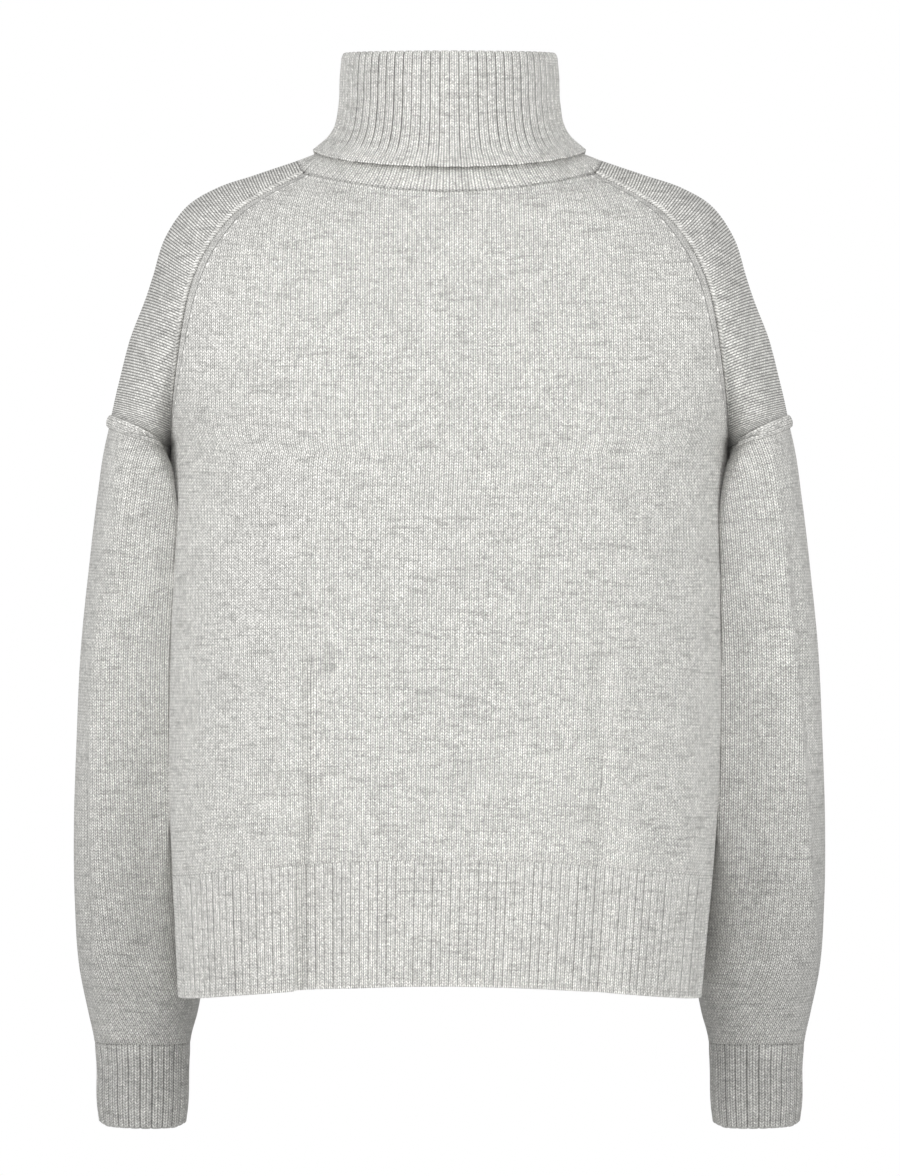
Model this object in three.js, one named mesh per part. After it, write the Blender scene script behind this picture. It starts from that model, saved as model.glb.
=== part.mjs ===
// Turtleneck sweater, relaxed fit, filled out as it is worn, with the arms hanging a little forward.
// Millimetres. The back faces -Y and the front +Y, +Z is up, and +X is the wearer's right side.
// The origin is the middle of the neck at the height where the shoulders meet it.
import * as THREE from 'three';

// Cloth
const WALL = 2.2;
const RIB_WALL = 2.6;
const RIB_HEIGHT = 1;
const HALF_SEAM = 0.25;
const NECK_SEAM = 0.8;

// Ribs counted all round each band, the hem half by half
const COLLAR_RIBS = 68;
const HEM_RIBS_A_HALF = 78;
const CUFF_RIBS = 24;

// Points across the pieces, and how many of them a band's plain inside skips
const PANEL_COLUMNS = 32;
const SHOULDER_COLUMNS = 16;
const SLEEVE_COLUMNS = 24;
const COLLAR_SKIP = 4;
const HEM_SKIP = 6;
const CUFF_SKIP = 2;

const table = (columns, rows) =>
  rows.map(row => Object.fromEntries(columns.split(' ').map((name, i) => [name, row[i]])));

// The body's sections below the arms. half is half its width, back and front its depth at the middle,
// seamY and seamZ the place of the side seam, backZ and frontZ the height at the middle, sway a shift in X.
const BODY = table('half back front seamY seamZ backZ frontZ sway', [
  [188.5, 111, 112, 0, -605, -590, -595, -7],
  [191.5, 113, 114, 0, -560, -546, -551, -6],
  [194.5, 114, 116, 0, -518, -502, -507, -5],
  [198, 116, 120, 1, -455, -446, -450, -4],
  [199.5, 117, 124, 2, -392, -387, -390, -3],
  [200.5, 118, 128, 4, -320, -318, -320, -2.5],
  [201.5, 118, 130, 4, -255, -258, -260, -1.5],
]);
const HEM_TOP = 2;

// The armhole seam from the underarm up to the neck. x, y and z lie on its back half, and the front half
// mirrors it about the depth middle, lower by drop. backY to frontZ are the body's middle in the same section.
const ARMHOLE = table('x y z middle drop backY backZ frontY frontZ roundness', [
  [200.5, 2, -211, 2, 0, -118, -219, 130, -222, 0.5],
  [199.5, -27, -199, 4.5, 2, -117.5, -205, 130, -209, 0.52],
  [197.1, -46, -181.6, 6, 5, -116, -184, 128, -192, 0.56],
  [192.6, -60, -148.5, 6, 8, -112, -152, 124, -164, 0.6],
  [189, -62, -124, 6, 8, -109, -129, 119, -144, 0.64],
  [184.6, -61, -102.2, 5.5, 7, -105, -109, 113, -128, 0.68],
  [176.5, -56, -79.3, 5, 6, -99.5, -89, 106, -115, 0.7],
  [165.9, -50, -61.2, 4, 5, -94.5, -73, 100, -104, 0.72],
  [152.3, -43, -44.9, 3, 3.5, -89.5, -59, 94, -94, 0.72],
  [133.3, -35, -31.5, 2, 2.5, -85, -46, 88, -84, 0.73],
  [104.4, -24, -15.8, 1, 1.5, -80, -32.3, 82, -70, 0.75],
]);

// The shoulder piece's arc at each row of the armhole: how it leaves the back seam (outX, outY, outZ),
// the top of the arc (topX, topY, topZ), and how far it runs level there towards the back and the front.
const SHOULDER = table('outX outY outZ topX topY topZ backReach frontReach', [
  [6, -76, 4, 244.5, 12, -192, 76, 92],
  [8, -52, 5, 243, 11, -184, 68, 82],
  [12, -29, 6, 239.5, 10, -168, 59, 72],
  [14, -13, 7, 231, 9, -134, 49, 59],
  [14, -7, 7, 222.5, 8, -110, 42, 46],
  [14, -3, 7, 214, 6, -86, 38, 42],
  [13, 2, 8, 204, 5, -58, 34, 38],
  [11, 4, 9, 189, 4, -37, 30, 34],
  [8, 5, 9, 167.5, 3, -24, 26, 29],
  [4, 4, 7, 141, 2, -15, 20, 23],
  [2, 3, 5, 110, 1, -4.6, 13, 15],
]);

// The sleeve's sections. inner and outer are its reach in X, back and front in Y, innerZ and outerZ its tilt.
const SLEEVE = table('inner outer back front innerZ outerZ', [
  [198.5, 249.5, -49, 82, -229, -214],
  [198, 254.5, -44, 91, -255, -246],
  [197, 261.5, -33, 102, -302, -298],
  [195, 268, -23, 110, -360, -358],
  [192, 271.5, -13, 116, -420, -420],
  [187, 274, -3, 121, -480, -480],
  [182, 274, 7, 126, -540, -540],
  [180, 271, 18, 127, -590, -590],
  [185, 264.5, 30, 118, -624, -623],
  [190, 260, 37, 107, -644.2, -643.8],
]);
const CUFF = table('inner outer back front innerZ outerZ', [
  [190.4, 259.6, 37.4, 106.6, -645, -644.6],
  [191, 258.4, 38.2, 105.6, -661, -660],
  [191.6, 258.2, 38.6, 105.4, -688, -687],
  [193.2, 256.6, 40, 104, -704.6, -703.4],
]);
const SLEEVE_AIR = 1.6;
const SLEEVE_SQUARENESS = 2.3;
const BODY_SQUARENESS = 2.6;
const YOKE_SQUARENESS = 2.2;

// Long soft folds that hang down the panels: place along X, ends in Z, width and depth
const FOLDS = table('face x top foot width depth', [
  ['back', -97, -235, -640, 17, 3.4],
  ['back', -66, -330, -640, 26, -1.8],
  ['back', 107, -360, -640, 20, 2.2],
  ['back', 30, -440, -640, 30, -1.6],
  ['front', 84, -250, -640, 20, 3],
  ['front', -112, -330, -640, 22, 2.6],
  ['front', -20, -420, -640, 30, -1.8],
]);

// Collar sections: half width, depth behind and before the middle, and height at the side, back and front.
// The stand is the lower inner layer that shows under the turned-down one.
const STAND = table('half back front sideZ backZ frontZ', [
  [102, 77.9, 80.2, -1.6, -24, -56],
  [95, 75.2, 77.6, 1.3, -15, -41],
  [87, 71.6, 74.6, 7, -5, -23],
  [79.8, 67.3, 72, 18, 8, -4],
  [76.9, 64.5, 70.2, 36, 29, 21],
  [75.6, 62.4, 68.6, 56.5, 52, 49.5],
  [74.8, 61.6, 67.8, 68, 64.6, 65],
]);
const TURNOVER = table('half back front sideZ backZ frontZ', [
  [98, 83, 90, 3.6, -16, -45],
  [94.2, 81.2, 87, 7, -11.4, -36],
  [88.8, 78, 83, 11.6, -4, -24],
  [83.6, 73.6, 78, 19, 7, -7],
  [79.9, 69, 74.6, 36, 28, 20],
  [79, 66.2, 72.6, 56.5, 52, 49.5],
  [77.9, 64.8, 71, 69, 65.4, 66],
]);
const COLLAR_TOP = table('half back front sideZ backZ frontZ', [
  [76, 62.6, 69, 72.8, 69, 69.6],
]);
const NECK_HALF = 110;
const NECK_BACK = 80;
const NECK_FRONT = 82;
const NECK_RISE = 1.15;
const STAND_ROWS_SHOWN = 4;

// The rolled seam below each shoulder piece: half its width, its height at the edges and crest, the air
// under it, and the columns left free at the underarm
const ROLL = { half: 4, edge: 0.6, crest: 2, air: 0.7, free: 2 };

const vec = (x, y, z) => new THREE.Vector3(x, y, z);
const lerp = THREE.MathUtils.lerp;
const span = (count, make) => Array.from({ length: count }, (_, i) => make(i));

// A row of a table part way between two of its rows
function between(rows, place) {
  const low = Math.min(rows.length - 2, Math.max(0, Math.floor(place)));
  const blend = place - low;
  return Object.fromEntries(Object.keys(rows[0]).map(
    name => [name, lerp(rows[low][name], rows[low + 1][name], blend)]));
}

// Folds

function foldDepth(face, x, z) {
  let depth = 0;
  for (const fold of FOLDS.filter(entry => entry.face === face)) {
    const along = THREE.MathUtils.smoothstep(fold.top - z, 0, fold.top - fold.foot);
    depth += fold.depth * along * Math.exp(-(((x - fold.x) / fold.width) ** 2));
  }
  return depth;
}

// One section of the front or back panel, from the left seam to the right one
function panelSection(face, section, angles) {
  const sign = face === 'back' ? -1 : 1;
  return angles.map(angle => {
    const across = Math.sin(angle);
    const round = Math.max(0, 1 - Math.abs(across) ** section.squareness) ** section.roundness;
    const x = section.half * across + section.sway;
    const z = lerp(section.seamZ, section.middleZ, 1 - across ** 2);
    const y = lerp(section.seamY, section.middleY, round);
    return vec(x, y - sign * foldDepth(face, x, z) * round, z);
  });
}

function bodySection(face, row) {
  return {
    half: row.half,
    sway: row.sway,
    seamY: row.seamY,
    seamZ: row.seamZ,
    middleY: face === 'back' ? -row.back : row.front,
    middleZ: face === 'back' ? row.backZ : row.frontZ,
    roundness: 0.5,
    squareness: BODY_SQUARENESS,
  };
}

function armholeSection(face, row, rise) {
  const back = face === 'back';
  return {
    half: row.x,
    sway: 0,
    seamY: back ? row.y : 2 * row.middle - row.y,
    seamZ: back ? row.z : row.z - row.drop,
    middleY: back ? row.backY : row.frontY,
    middleZ: back ? row.backZ : row.frontZ,
    roundness: row.roundness,
    squareness: lerp(BODY_SQUARENESS, YOKE_SQUARENESS, rise),
  };
}

const PANEL_ANGLES = span(PANEL_COLUMNS + 1, i => Math.PI * (i / PANEL_COLUMNS - 0.5));

function panelRows(face) {
  const lower = BODY.slice(HEM_TOP).map(row => bodySection(face, row));
  const upper = ARMHOLE.map((row, i) => armholeSection(face, row, i / (ARMHOLE.length - 1)));
  return [...lower, ...upper].map(section => panelSection(face, section, PANEL_ANGLES));
}

// How far the body reaches to one side (1 right, -1 left) at a depth and height, which its sleeve keeps clear of
function bodyReach(side, y, z) {
  const rows = [...BODY].reverse();
  const found = rows.findIndex(row => row.seamZ < z);
  const low = found < 1 ? rows.length - 1 : found;
  const place = found < 0 ? rows.length - 1
    : found < 1 ? 0
      : low - 1 + (rows[low - 1].seamZ - z) / (rows[low - 1].seamZ - rows[low].seamZ);
  const row = between(rows, place);
  const depth = y < row.seamY ? row.back + row.seamY : row.front - row.seamY;
  const inward = Math.min(1, Math.abs(y - row.seamY) / depth);
  return row.half * (1 - inward ** 2) ** (1 / BODY_SQUARENESS) + side * row.sway;
}

// The shoulder piece's arc at one row, from the back seam over the top to the front seam
function shoulderArc(index) {
  const seam = ARMHOLE[index];
  const arc = SHOULDER[index];
  const back = vec(seam.x, seam.y, seam.z);
  const front = vec(seam.x, 2 * seam.middle - seam.y, seam.z - seam.drop);
  const top = vec(arc.topX, arc.topY, arc.topZ);
  const leaveBack = back.clone().add(vec(arc.outX, arc.outY, arc.outZ));
  const leaveFront = front.clone().add(vec(arc.outX, -arc.outY * arc.frontReach / arc.backReach, arc.outZ));
  const rise = new THREE.CubicBezierCurve3(back, leaveBack, top.clone().add(vec(0, -arc.backReach, 0)), top);
  const fall = new THREE.CubicBezierCurve3(top, top.clone().add(vec(0, arc.frontReach, 0)), leaveFront, front);
  const half = SHOULDER_COLUMNS / 2;
  return span(SHOULDER_COLUMNS + 1, i => (i < half ? rise.getPoint(i / half) : fall.getPoint(i / half - 1)));
}

// A closed section of a sleeve or cuff, begun at its inner side and run round by the back. One beside the
// body is given its side, and is pressed flat where it would lie in the body.
function armSection(row, columns, squareness, side = 0) {
  const middleX = (row.inner + row.outer) / 2;
  const middleY = (row.back + row.front) / 2;
  const power = 2 / squareness;
  return span(columns, i => {
    const angle = 2 * Math.PI * i / columns;
    const inward = Math.sign(Math.cos(angle)) * Math.abs(Math.cos(angle)) ** power;
    const backward = Math.sign(Math.sin(angle)) * Math.abs(Math.sin(angle)) ** power;
    const z = lerp(row.outerZ, row.innerZ, (1 + inward) / 2);
    const y = middleY - backward * (row.front - row.back) / 2;
    const x = middleX - inward * (row.outer - row.inner) / 2;
    return vec(side ? Math.max(x, bodyReach(side, y, z) + SLEEVE_AIR) : x, y, z);
  });
}

// Surfaces: a grid of points with the normal that faces out at each

function surfaceOf(rows, core, closed) {
  const at = (i, j) => rows[i][closed ? (j + rows[i].length) % rows[i].length : j];
  let facing = 0;
  const normals = rows.map((row, i) => row.map((point, j) => {
    const last = row.length - 1;
    const across = at(i, closed ? j + 1 : Math.min(last, j + 1)).clone()
      .sub(at(i, closed ? j - 1 : Math.max(0, j - 1)));
    const along = at(Math.min(rows.length - 1, i + 1), j).clone().sub(at(Math.max(0, i - 1), j));
    const normal = across.cross(along).normalize();
    facing += normal.dot(point.clone().sub(core(point)));
    return normal;
  }));
  if (facing < 0) normals.flat().forEach(normal => normal.negate());
  return { rows, normals };
}

const EDGES = {
  first: surface => surface.rows[0].map((_, j) => [0, j]),
  last: surface => surface.rows[0].map((_, j) => [surface.rows.length - 1, j]),
  left: surface => surface.rows.map((_, i) => [i, 0]),
  right: surface => surface.rows.map((row, i) => [i, row.length - 1]),
};

// Two edges that meet in a seam share one direction through the cloth, so their ends face each other squarely
function mitre(one, oneCells, other, otherCells) {
  oneCells.forEach(([i, j], k) => {
    const [m, n] = otherCells[k];
    const here = one.normals[i][j];
    const there = other.normals[m][n];
    if (here.dot(there) < 0.3) return;
    const shared = here.clone().add(there).normalize();
    one.normals[i][j] = shared.clone();
    other.normals[m][n] = shared;
  });
}

// Draws an edge back from its seam
function drawBack(surface, edge) {
  const { rows } = surface;
  for (const [i, j] of EDGES[edge](surface)) {
    const next = {
      first: () => rows[1][j],
      last: () => rows[rows.length - 2][j],
      left: () => rows[i][1],
      right: () => rows[i][rows[i].length - 2],
    }[edge]();
    rows[i][j] = rows[i][j].clone().add(next.clone().sub(rows[i][j]).setLength(HALF_SEAM));
  }
}

const moved = ({ rows, normals }, distance) =>
  rows.map((row, i) => row.map((point, j) => point.clone().addScaledVector(normals[i][j], distance)));

// Meshes

class Skin {
  constructor() {
    this.positions = [];
    this.faces = [];
  }

  row(points) {
    return points.map(point => this.positions.push(point.x, point.y, point.z) / 3 - 1);
  }

  // Faces between two runs of points, which may differ in number
  join(one, other) {
    let i = 0;
    let j = 0;
    while (i < one.length - 1 || j < other.length - 1) {
      const stepOne = (i + 1) / (one.length - 1);
      const stepOther = (j + 1) / (other.length - 1);
      if (j === other.length - 1 || (i < one.length - 1 && stepOne <= stepOther)) {
        this.faces.push(one[i], one[i + 1], other[j]);
        i += 1;
      } else {
        this.faces.push(one[i], other[j + 1], other[j]);
        j += 1;
      }
    }
  }

  geometry() {
    const corner = index => vec(...this.positions.slice(3 * index, 3 * index + 3));
    let volume = 0;
    for (let k = 0; k < this.faces.length; k += 3) {
      const [a, b, c] = this.faces.slice(k, k + 3).map(corner);
      volume += a.dot(b.cross(c));
    }
    const faces = [...this.faces];
    if (volume < 0) faces.reverse();
    const geometry = new THREE.BufferGeometry();
    geometry.setAttribute('position', new THREE.Float32BufferAttribute(this.positions, 3));
    geometry.setIndex(faces);
    geometry.computeVertexNormals();
    return geometry;
  }
}

// A wall closed round on itself: loops of points, each joined to the next and the last to the first
function ringWall(loops) {
  const skin = new Skin();
  const rows = loops.map(loop => {
    const row = skin.row(loop);
    return [...row, row[0]];
  });
  rows.forEach((row, i) => skin.join(row, rows[(i + 1) % rows.length]));
  return skin.geometry();
}

// A wall with four edges: the outer grid and the inner one, which may have fewer rows and columns
function sheetWall(outer, inner) {
  const skin = new Skin();
  const out = outer.map(row => skin.row(row));
  const back = inner.map(row => skin.row(row));
  out.slice(1).forEach((row, i) => skin.join(out[i], row));
  back.slice(1).forEach((row, i) => skin.join(row, back[i]));
  const side = (rows, end) => rows.map(row => row.at(end));
  skin.join(back[0], out[0]);
  skin.join(out.at(-1), back.at(-1));
  skin.join(side(out, 0), side(back, 0));
  skin.join(side(back, -1), side(out, -1));
  return skin.geometry();
}

const every = (list, step) => list.filter((_, i) => i % step === 0);

// Raised ribs: every second column stands proud and the ones between lie a rib's height lower
function ribbed(surface, height) {
  return surface.rows.map((row, i) => row.map((point, j) => (
    j % 2 ? point.clone().addScaledVector(surface.normals[i][j], -height) : point)));
}

// Pieces

const bodyCore = point => vec(0, 0, point.z - 40);
const sleeveCore = point => vec(235, lerp(20, 75, THREE.MathUtils.clamp((-200 - point.z) / 440, 0, 1)), point.z);
const shoulderCore = point => vec(point.x * 0.75, 5, point.z - 60);

const back = surfaceOf(panelRows('back'), bodyCore, false);
const front = surfaceOf(panelRows('front'), bodyCore, false);
const shoulder = surfaceOf(ARMHOLE.map((_, i) => shoulderArc(i)), shoulderCore, false);

// A sleeve starts on the shoulder piece's lowest arc, which comes full circle at the underarm.
// Both are shaped as right ones, the left one to the body's left side.
function sleeveSurface(side) {
  const start = shoulderArc(0);
  const loop = new THREE.CatmullRomCurve3(start.slice(0, -1), true);
  const top = span(SLEEVE_COLUMNS, i => loop.getPoint(i / SLEEVE_COLUMNS));
  const rest = SLEEVE.map(row => armSection(row, SLEEVE_COLUMNS, SLEEVE_SQUARENESS, side));
  return surfaceOf([top, ...rest], sleeveCore, true);
}
const sleeves = { right: sleeveSurface(1), left: sleeveSurface(-1) };

const mirrored = surface => ({
  rows: surface.rows.map(row => row.map(point => vec(-point.x, point.y, point.z))),
  normals: surface.normals.map(row => row.map(normal => vec(-normal.x, normal.y, normal.z))),
});

// Seams of the body: the sides, the armholes and the top of the hem
const armholeCells = edge => EDGES[edge](back).slice(-ARMHOLE.length);
mitre(back, EDGES.left(back), front, EDGES.left(front));
mitre(back, EDGES.right(back), front, EDGES.right(front));
const shoulderLeft = mirrored(shoulder);
mitre(shoulder, EDGES.left(shoulder), back, armholeCells('right'));
mitre(shoulder, EDGES.right(shoulder), front, armholeCells('right'));
mitre(shoulderLeft, EDGES.left(shoulderLeft), back, armholeCells('left'));
mitre(shoulderLeft, EDGES.right(shoulderLeft), front, armholeCells('left'));

// The line round the neck that the collar is sewn to, walked from the wearer's right by the back
const neckLine = [
  ...shoulder.rows.at(-1).slice(0, SHOULDER_COLUMNS / 2 + 1).reverse(),
  ...[...back.rows.at(-1)].reverse().slice(1),
  ...shoulderLeft.rows.at(-1).slice(1),
  ...front.rows.at(-1).slice(1),
  ...[...shoulder.rows.at(-1)].reverse().slice(1, SHOULDER_COLUMNS / 2),
].map(point => point.clone());

for (const surface of [back, front]) {
  for (const edge of ['left', 'right', 'first', 'last']) drawBack(surface, edge);
}
for (const surface of [shoulder, shoulderLeft]) {
  for (const edge of ['left', 'right', 'last', 'first']) drawBack(surface, edge);
}
for (const sleeve of Object.values(sleeves)) drawBack(sleeve, 'first');

const panelWall = surface => sheetWall(surface.rows, moved(surface, -WALL));

// The hem's ribs are of equal width, so its columns lie at equal steps along each section
function hemHalf(face) {
  const fine = span(401, i => Math.PI * (i / 400 - 0.5));
  const sections = BODY.slice(0, HEM_TOP + 1).map(row => panelSection(face, bodySection(face, row), fine));
  const even = points => {
    const curve = new THREE.CatmullRomCurve3(points);
    curve.arcLengthDivisions = 2 * points.length;
    return curve.getSpacedPoints(2 * HEM_RIBS_A_HALF);
  };
  const surface = surfaceOf(sections.map(even), bodyCore, false);
  for (const edge of ['left', 'right', 'last']) drawBack(surface, edge);
  const inside = moved(surface, -RIB_WALL).filter((_, i) => i !== 1).map(row => every(row, HEM_SKIP));
  return sheetWall(ribbed(surface, RIB_HEIGHT), inside);
}

// Angles round the neck that part it into equal lengths, two for each rib
function evenAngles(half, depth, count) {
  const ellipse = new THREE.EllipseCurve(0, 0, half, depth);
  return ellipse.getSpacedPoints(count).slice(0, -1).map(({ x, y }) => Math.atan2(y / depth, x / half));
}

const heightRound = (row, sine) => {
  const end = sine < 0 ? row.backZ : row.frontZ;
  return lerp(row.sideZ, end, Math.abs(sine) ** NECK_RISE);
};

function neckSection(row, angles) {
  return angles.map(angle => {
    const sine = Math.sin(angle);
    const depth = sine < 0 ? row.back : row.front;
    return vec(row.half * Math.cos(angle), depth * sine, heightRound(row, sine));
  });
}

// A point of the neck line at an angle round the neck
function neckPoint(angle) {
  const turn = point => Math.atan2(point.y / (point.y < 0 ? NECK_BACK : NECK_FRONT), point.x / NECK_HALF);
  const ahead = point => THREE.MathUtils.euclideanModulo(turn(point) - angle, 2 * Math.PI);
  const after = neckLine.reduce((best, point) => (ahead(point) < ahead(best) ? point : best));
  const index = neckLine.indexOf(after);
  const before = neckLine[(index + 1) % neckLine.length];
  const gap = ahead(after);
  const width = gap + 2 * Math.PI - ahead(before);
  return after.clone().lerp(before, gap / width);
}

function collarWall() {
  const ribs = evenAngles(79, 68, 2 * COLLAR_RIBS);
  const plain = every(ribs, COLLAR_SKIP);
  const core = point => vec(0, 3, point.z);
  const surface = (rows, angles) => surfaceOf(rows.map(row => neckSection(row, angles)), core, true);

  const seam = ribs.map(neckPoint);
  const lift = STAND[0];
  const foot = seam.map((point, i) => {
    const next = neckSection(lift, [ribs[i]])[0];
    return point.clone().add(next.sub(point).setLength(NECK_SEAM));
  });
  const stand = surfaceOf([foot, ...STAND.map(row => neckSection(row, ribs))], core, true);
  const standShown = ribbed(stand, RIB_HEIGHT).slice(0, STAND_ROWS_SHOWN);
  const standHidden = moved(stand, -RIB_HEIGHT / 2).slice(STAND_ROWS_SHOWN).map(row => every(row, COLLAR_SKIP));
  const standInside = moved(stand, -RIB_WALL).map(row => every(row, COLLAR_SKIP));

  const turnover = surface(TURNOVER, ribs);
  const turnoverShown = ribbed(turnover, RIB_HEIGHT);
  const turnoverInside = moved(turnover, -WALL).map(row => every(row, COLLAR_SKIP));
  const top = COLLAR_TOP.map(row => neckSection(row, plain));

  return ringWall([
    ...standShown,
    ...standHidden,
    ...turnoverInside.reverse(),
    ...turnoverShown,
    ...top,
    ...standInside.reverse(),
  ]);
}

const sleeveWall = sleeve => ringWall([...sleeve.rows, ...moved(sleeve, -WALL).reverse()]);

function cuffWall() {
  const rows = CUFF.map(row => armSection(row, 2 * CUFF_RIBS, 2));
  const surface = surfaceOf(rows, sleeveCore, true);
  const inside = moved(surface, -RIB_WALL).filter((_, i) => i !== 1).map(row => every(row, CUFF_SKIP));
  return ringWall([...ribbed(surface, RIB_HEIGHT), ...inside.reverse()]);
}

// The rolled seam between shoulder piece and sleeve lies on both, made from their points moved out
function seamRoll() {
  const [start, under] = sleeves.right.rows;
  const columns = span(SLEEVE_COLUMNS - 2 * ROLL.free + 1, i => i + ROLL.free);
  const [lowest, next] = [0, 1].map(index => new THREE.CatmullRomCurve3(shoulderArc(index)));
  const step = (from, to) => from.clone().add(to.clone().sub(from).setLength(ROLL.half));
  const above = columns.map(i => {
    const place = i / SLEEVE_COLUMNS;
    return step(lowest.getPoint(place), next.getPoint(place));
  });
  const seam = columns.map(i => start[i]);
  const below = columns.map(i => step(start[i], under[i]));
  const surface = surfaceOf([above, seam, below], sleeveCore, false);
  const heights = [ROLL.edge, ROLL.crest, ROLL.edge];
  const crest = surface.rows.map((row, i) => row.map((point, j) => (
    point.clone().addScaledVector(surface.normals[i][j], ROLL.air + heights[i]))));
  return sheetWall(crest, moved(surface, ROLL.air));
}

// Scene

const BODY_WOOL = '#d5d4cf';
const SHADE_WOOL = '#cdccc7';

const wool = (colour, roughness = 0.95) =>
  new THREE.MeshStandardMaterial({ color: colour, roughness, metalness: 0, side: THREE.FrontSide });

function piece(name, geometry, colour = BODY_WOOL) {
  const mesh = new THREE.Mesh(geometry, wool(colour));
  mesh.name = name;
  return mesh;
}

// The other side of a piece, made by turning its points and faces about the middle
function otherSide(geometry) {
  const copy = geometry.clone();
  copy.scale(-1, 1, 1);
  copy.setIndex([...copy.getIndex().array].reverse());
  copy.computeVertexNormals();
  return copy;
}

const sweater = new THREE.Group();
sweater.add(piece('back_panel', panelWall(back)));
sweater.add(piece('front_panel', panelWall(front)));
sweater.add(piece('hem_rib_back', hemHalf('back')));
sweater.add(piece('hem_rib_front', hemHalf('front')));
sweater.add(piece('collar', collarWall()));
sweater.add(piece('shoulder_right', panelWall(shoulder), SHADE_WOOL));
sweater.add(piece('shoulder_left', panelWall(shoulderLeft), SHADE_WOOL));
sweater.add(piece('sleeve_right', sleeveWall(sleeves.right)));
sweater.add(piece('sleeve_left', otherSide(sleeveWall(sleeves.left))));

const paired = {
  cuff: cuffWall(),
  drop_seam: seamRoll(),
};
for (const [name, geometry] of Object.entries(paired)) {
  sweater.add(piece(`${name}_right`, geometry));
  sweater.add(piece(`${name}_left`, otherSide(geometry)));
}

export default sweater;
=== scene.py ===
import math

import bpy
import numpy as np
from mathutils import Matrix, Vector


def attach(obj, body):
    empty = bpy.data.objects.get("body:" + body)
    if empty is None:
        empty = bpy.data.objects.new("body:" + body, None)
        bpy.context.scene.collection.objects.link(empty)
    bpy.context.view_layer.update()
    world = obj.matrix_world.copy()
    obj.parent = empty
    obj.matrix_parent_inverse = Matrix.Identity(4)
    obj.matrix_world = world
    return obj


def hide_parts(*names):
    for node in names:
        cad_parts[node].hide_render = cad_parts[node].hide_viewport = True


bl_info = {
    "name": "Turtleneck sweater",
    "version": (1, 0, 0),
    "blender": (4, 5, 0),
    "location": "3D view, sidebar, Sweater tab",
    "description": "Knits a loose turtleneck sweater with dropped sleeves and sets up a soft studio",
    "category": "Add Mesh",
}

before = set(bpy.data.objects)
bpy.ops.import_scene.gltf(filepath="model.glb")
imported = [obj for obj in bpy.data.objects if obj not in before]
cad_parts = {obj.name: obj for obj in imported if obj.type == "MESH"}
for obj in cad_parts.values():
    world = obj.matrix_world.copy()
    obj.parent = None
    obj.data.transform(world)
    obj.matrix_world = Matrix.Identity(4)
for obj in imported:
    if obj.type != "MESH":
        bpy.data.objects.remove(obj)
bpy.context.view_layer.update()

# Shapes are worked out in millimetres, and a mesh is made in metres.
# The back faces -Y and the front +Y, +Z is up, and +X is the wearer's right side.
MM = 0.001
MIRRORED = (-1, 1, 1)

# Cloth
WALL = 2.2
RIB_WALL = 2.6
SEAM_GAP = 0.01
NECK_GAP = 0.03

# Ribs counted all round each band, the hem half by half
COLLAR_RIBS = 68
HEM_RIBS_A_HALF = 78
CUFF_RIBS = 24
RIB_DEPTH = 0.75
HEM_RIB_DEPTH = 0.5

# How far a thread stands out beside the armhole seam and at the neck's edge
ARMHOLE_THREAD = 0.32
NECK_THREAD = 0.35

# Width and height of a stitch where the sweater's own gauge doesn't hold
SIDE_WALE = 2.7
SLEEVE_COURSE = 2.2
SHOULDER_STITCH = (3.1, 2.05)
ROLL_STITCH = (3.4, 2.6)

# The band of knit beside the body's side seams, and the fashioning marks past it up the armholes
SIDE_BAND = 8
MARK_ASIDE = 9.8
MARK_SPACING = 13

# How much a stitch's legs lean, in courses for a wale
LEAN = 1.8
ROLL_LEAN = 1.3

# How finely each grid of cloth is drawn
PANEL_COLUMNS = 212
SIDE_ROWS = 122
ARMHOLE_ROWS = 104
SHOULDER_COLUMNS = 92
SLEEVE_COLUMNS = 176
SLEEVE_ROWS = 210
CUFF_ROWS = 34
HEM_ROWS = 36
STAND_ROWS = 30
TURNOVER_ROWS = 52
ROLL_ROWS = 13
ROLL_COLUMNS = 190


def table(columns, rows):
    """A short table whose columns are read by name"""
    return np.array(rows, dtype=[(name, float) for name in columns.split()])


# The body's sections from the hem's edge up to the arms. half is half its width, back and front its depth
# at the middle, seam_y and seam_z the place of the side seam, back_z and front_z the height at the middle,
# and sway its shift along X. The plain knit starts at section HEM_TOP.
BODY = table("half back front seam_y seam_z back_z front_z sway", [
    (188.5, 111, 112, 0, -605, -590, -595, -7),
    (191.5, 113, 114, 0, -560, -546, -551, -6),
    (194.5, 114, 116, 0, -518, -502, -507, -5),
    (198, 116, 120, 1, -455, -446, -450, -4),
    (199.5, 117, 124, 2, -392, -387, -390, -3),
    (200.5, 118, 128, 4, -320, -318, -320, -2.5),
    (201.5, 118, 130, 4, -255, -258, -260, -1.5),
])
HEM_TOP = 2

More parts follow.
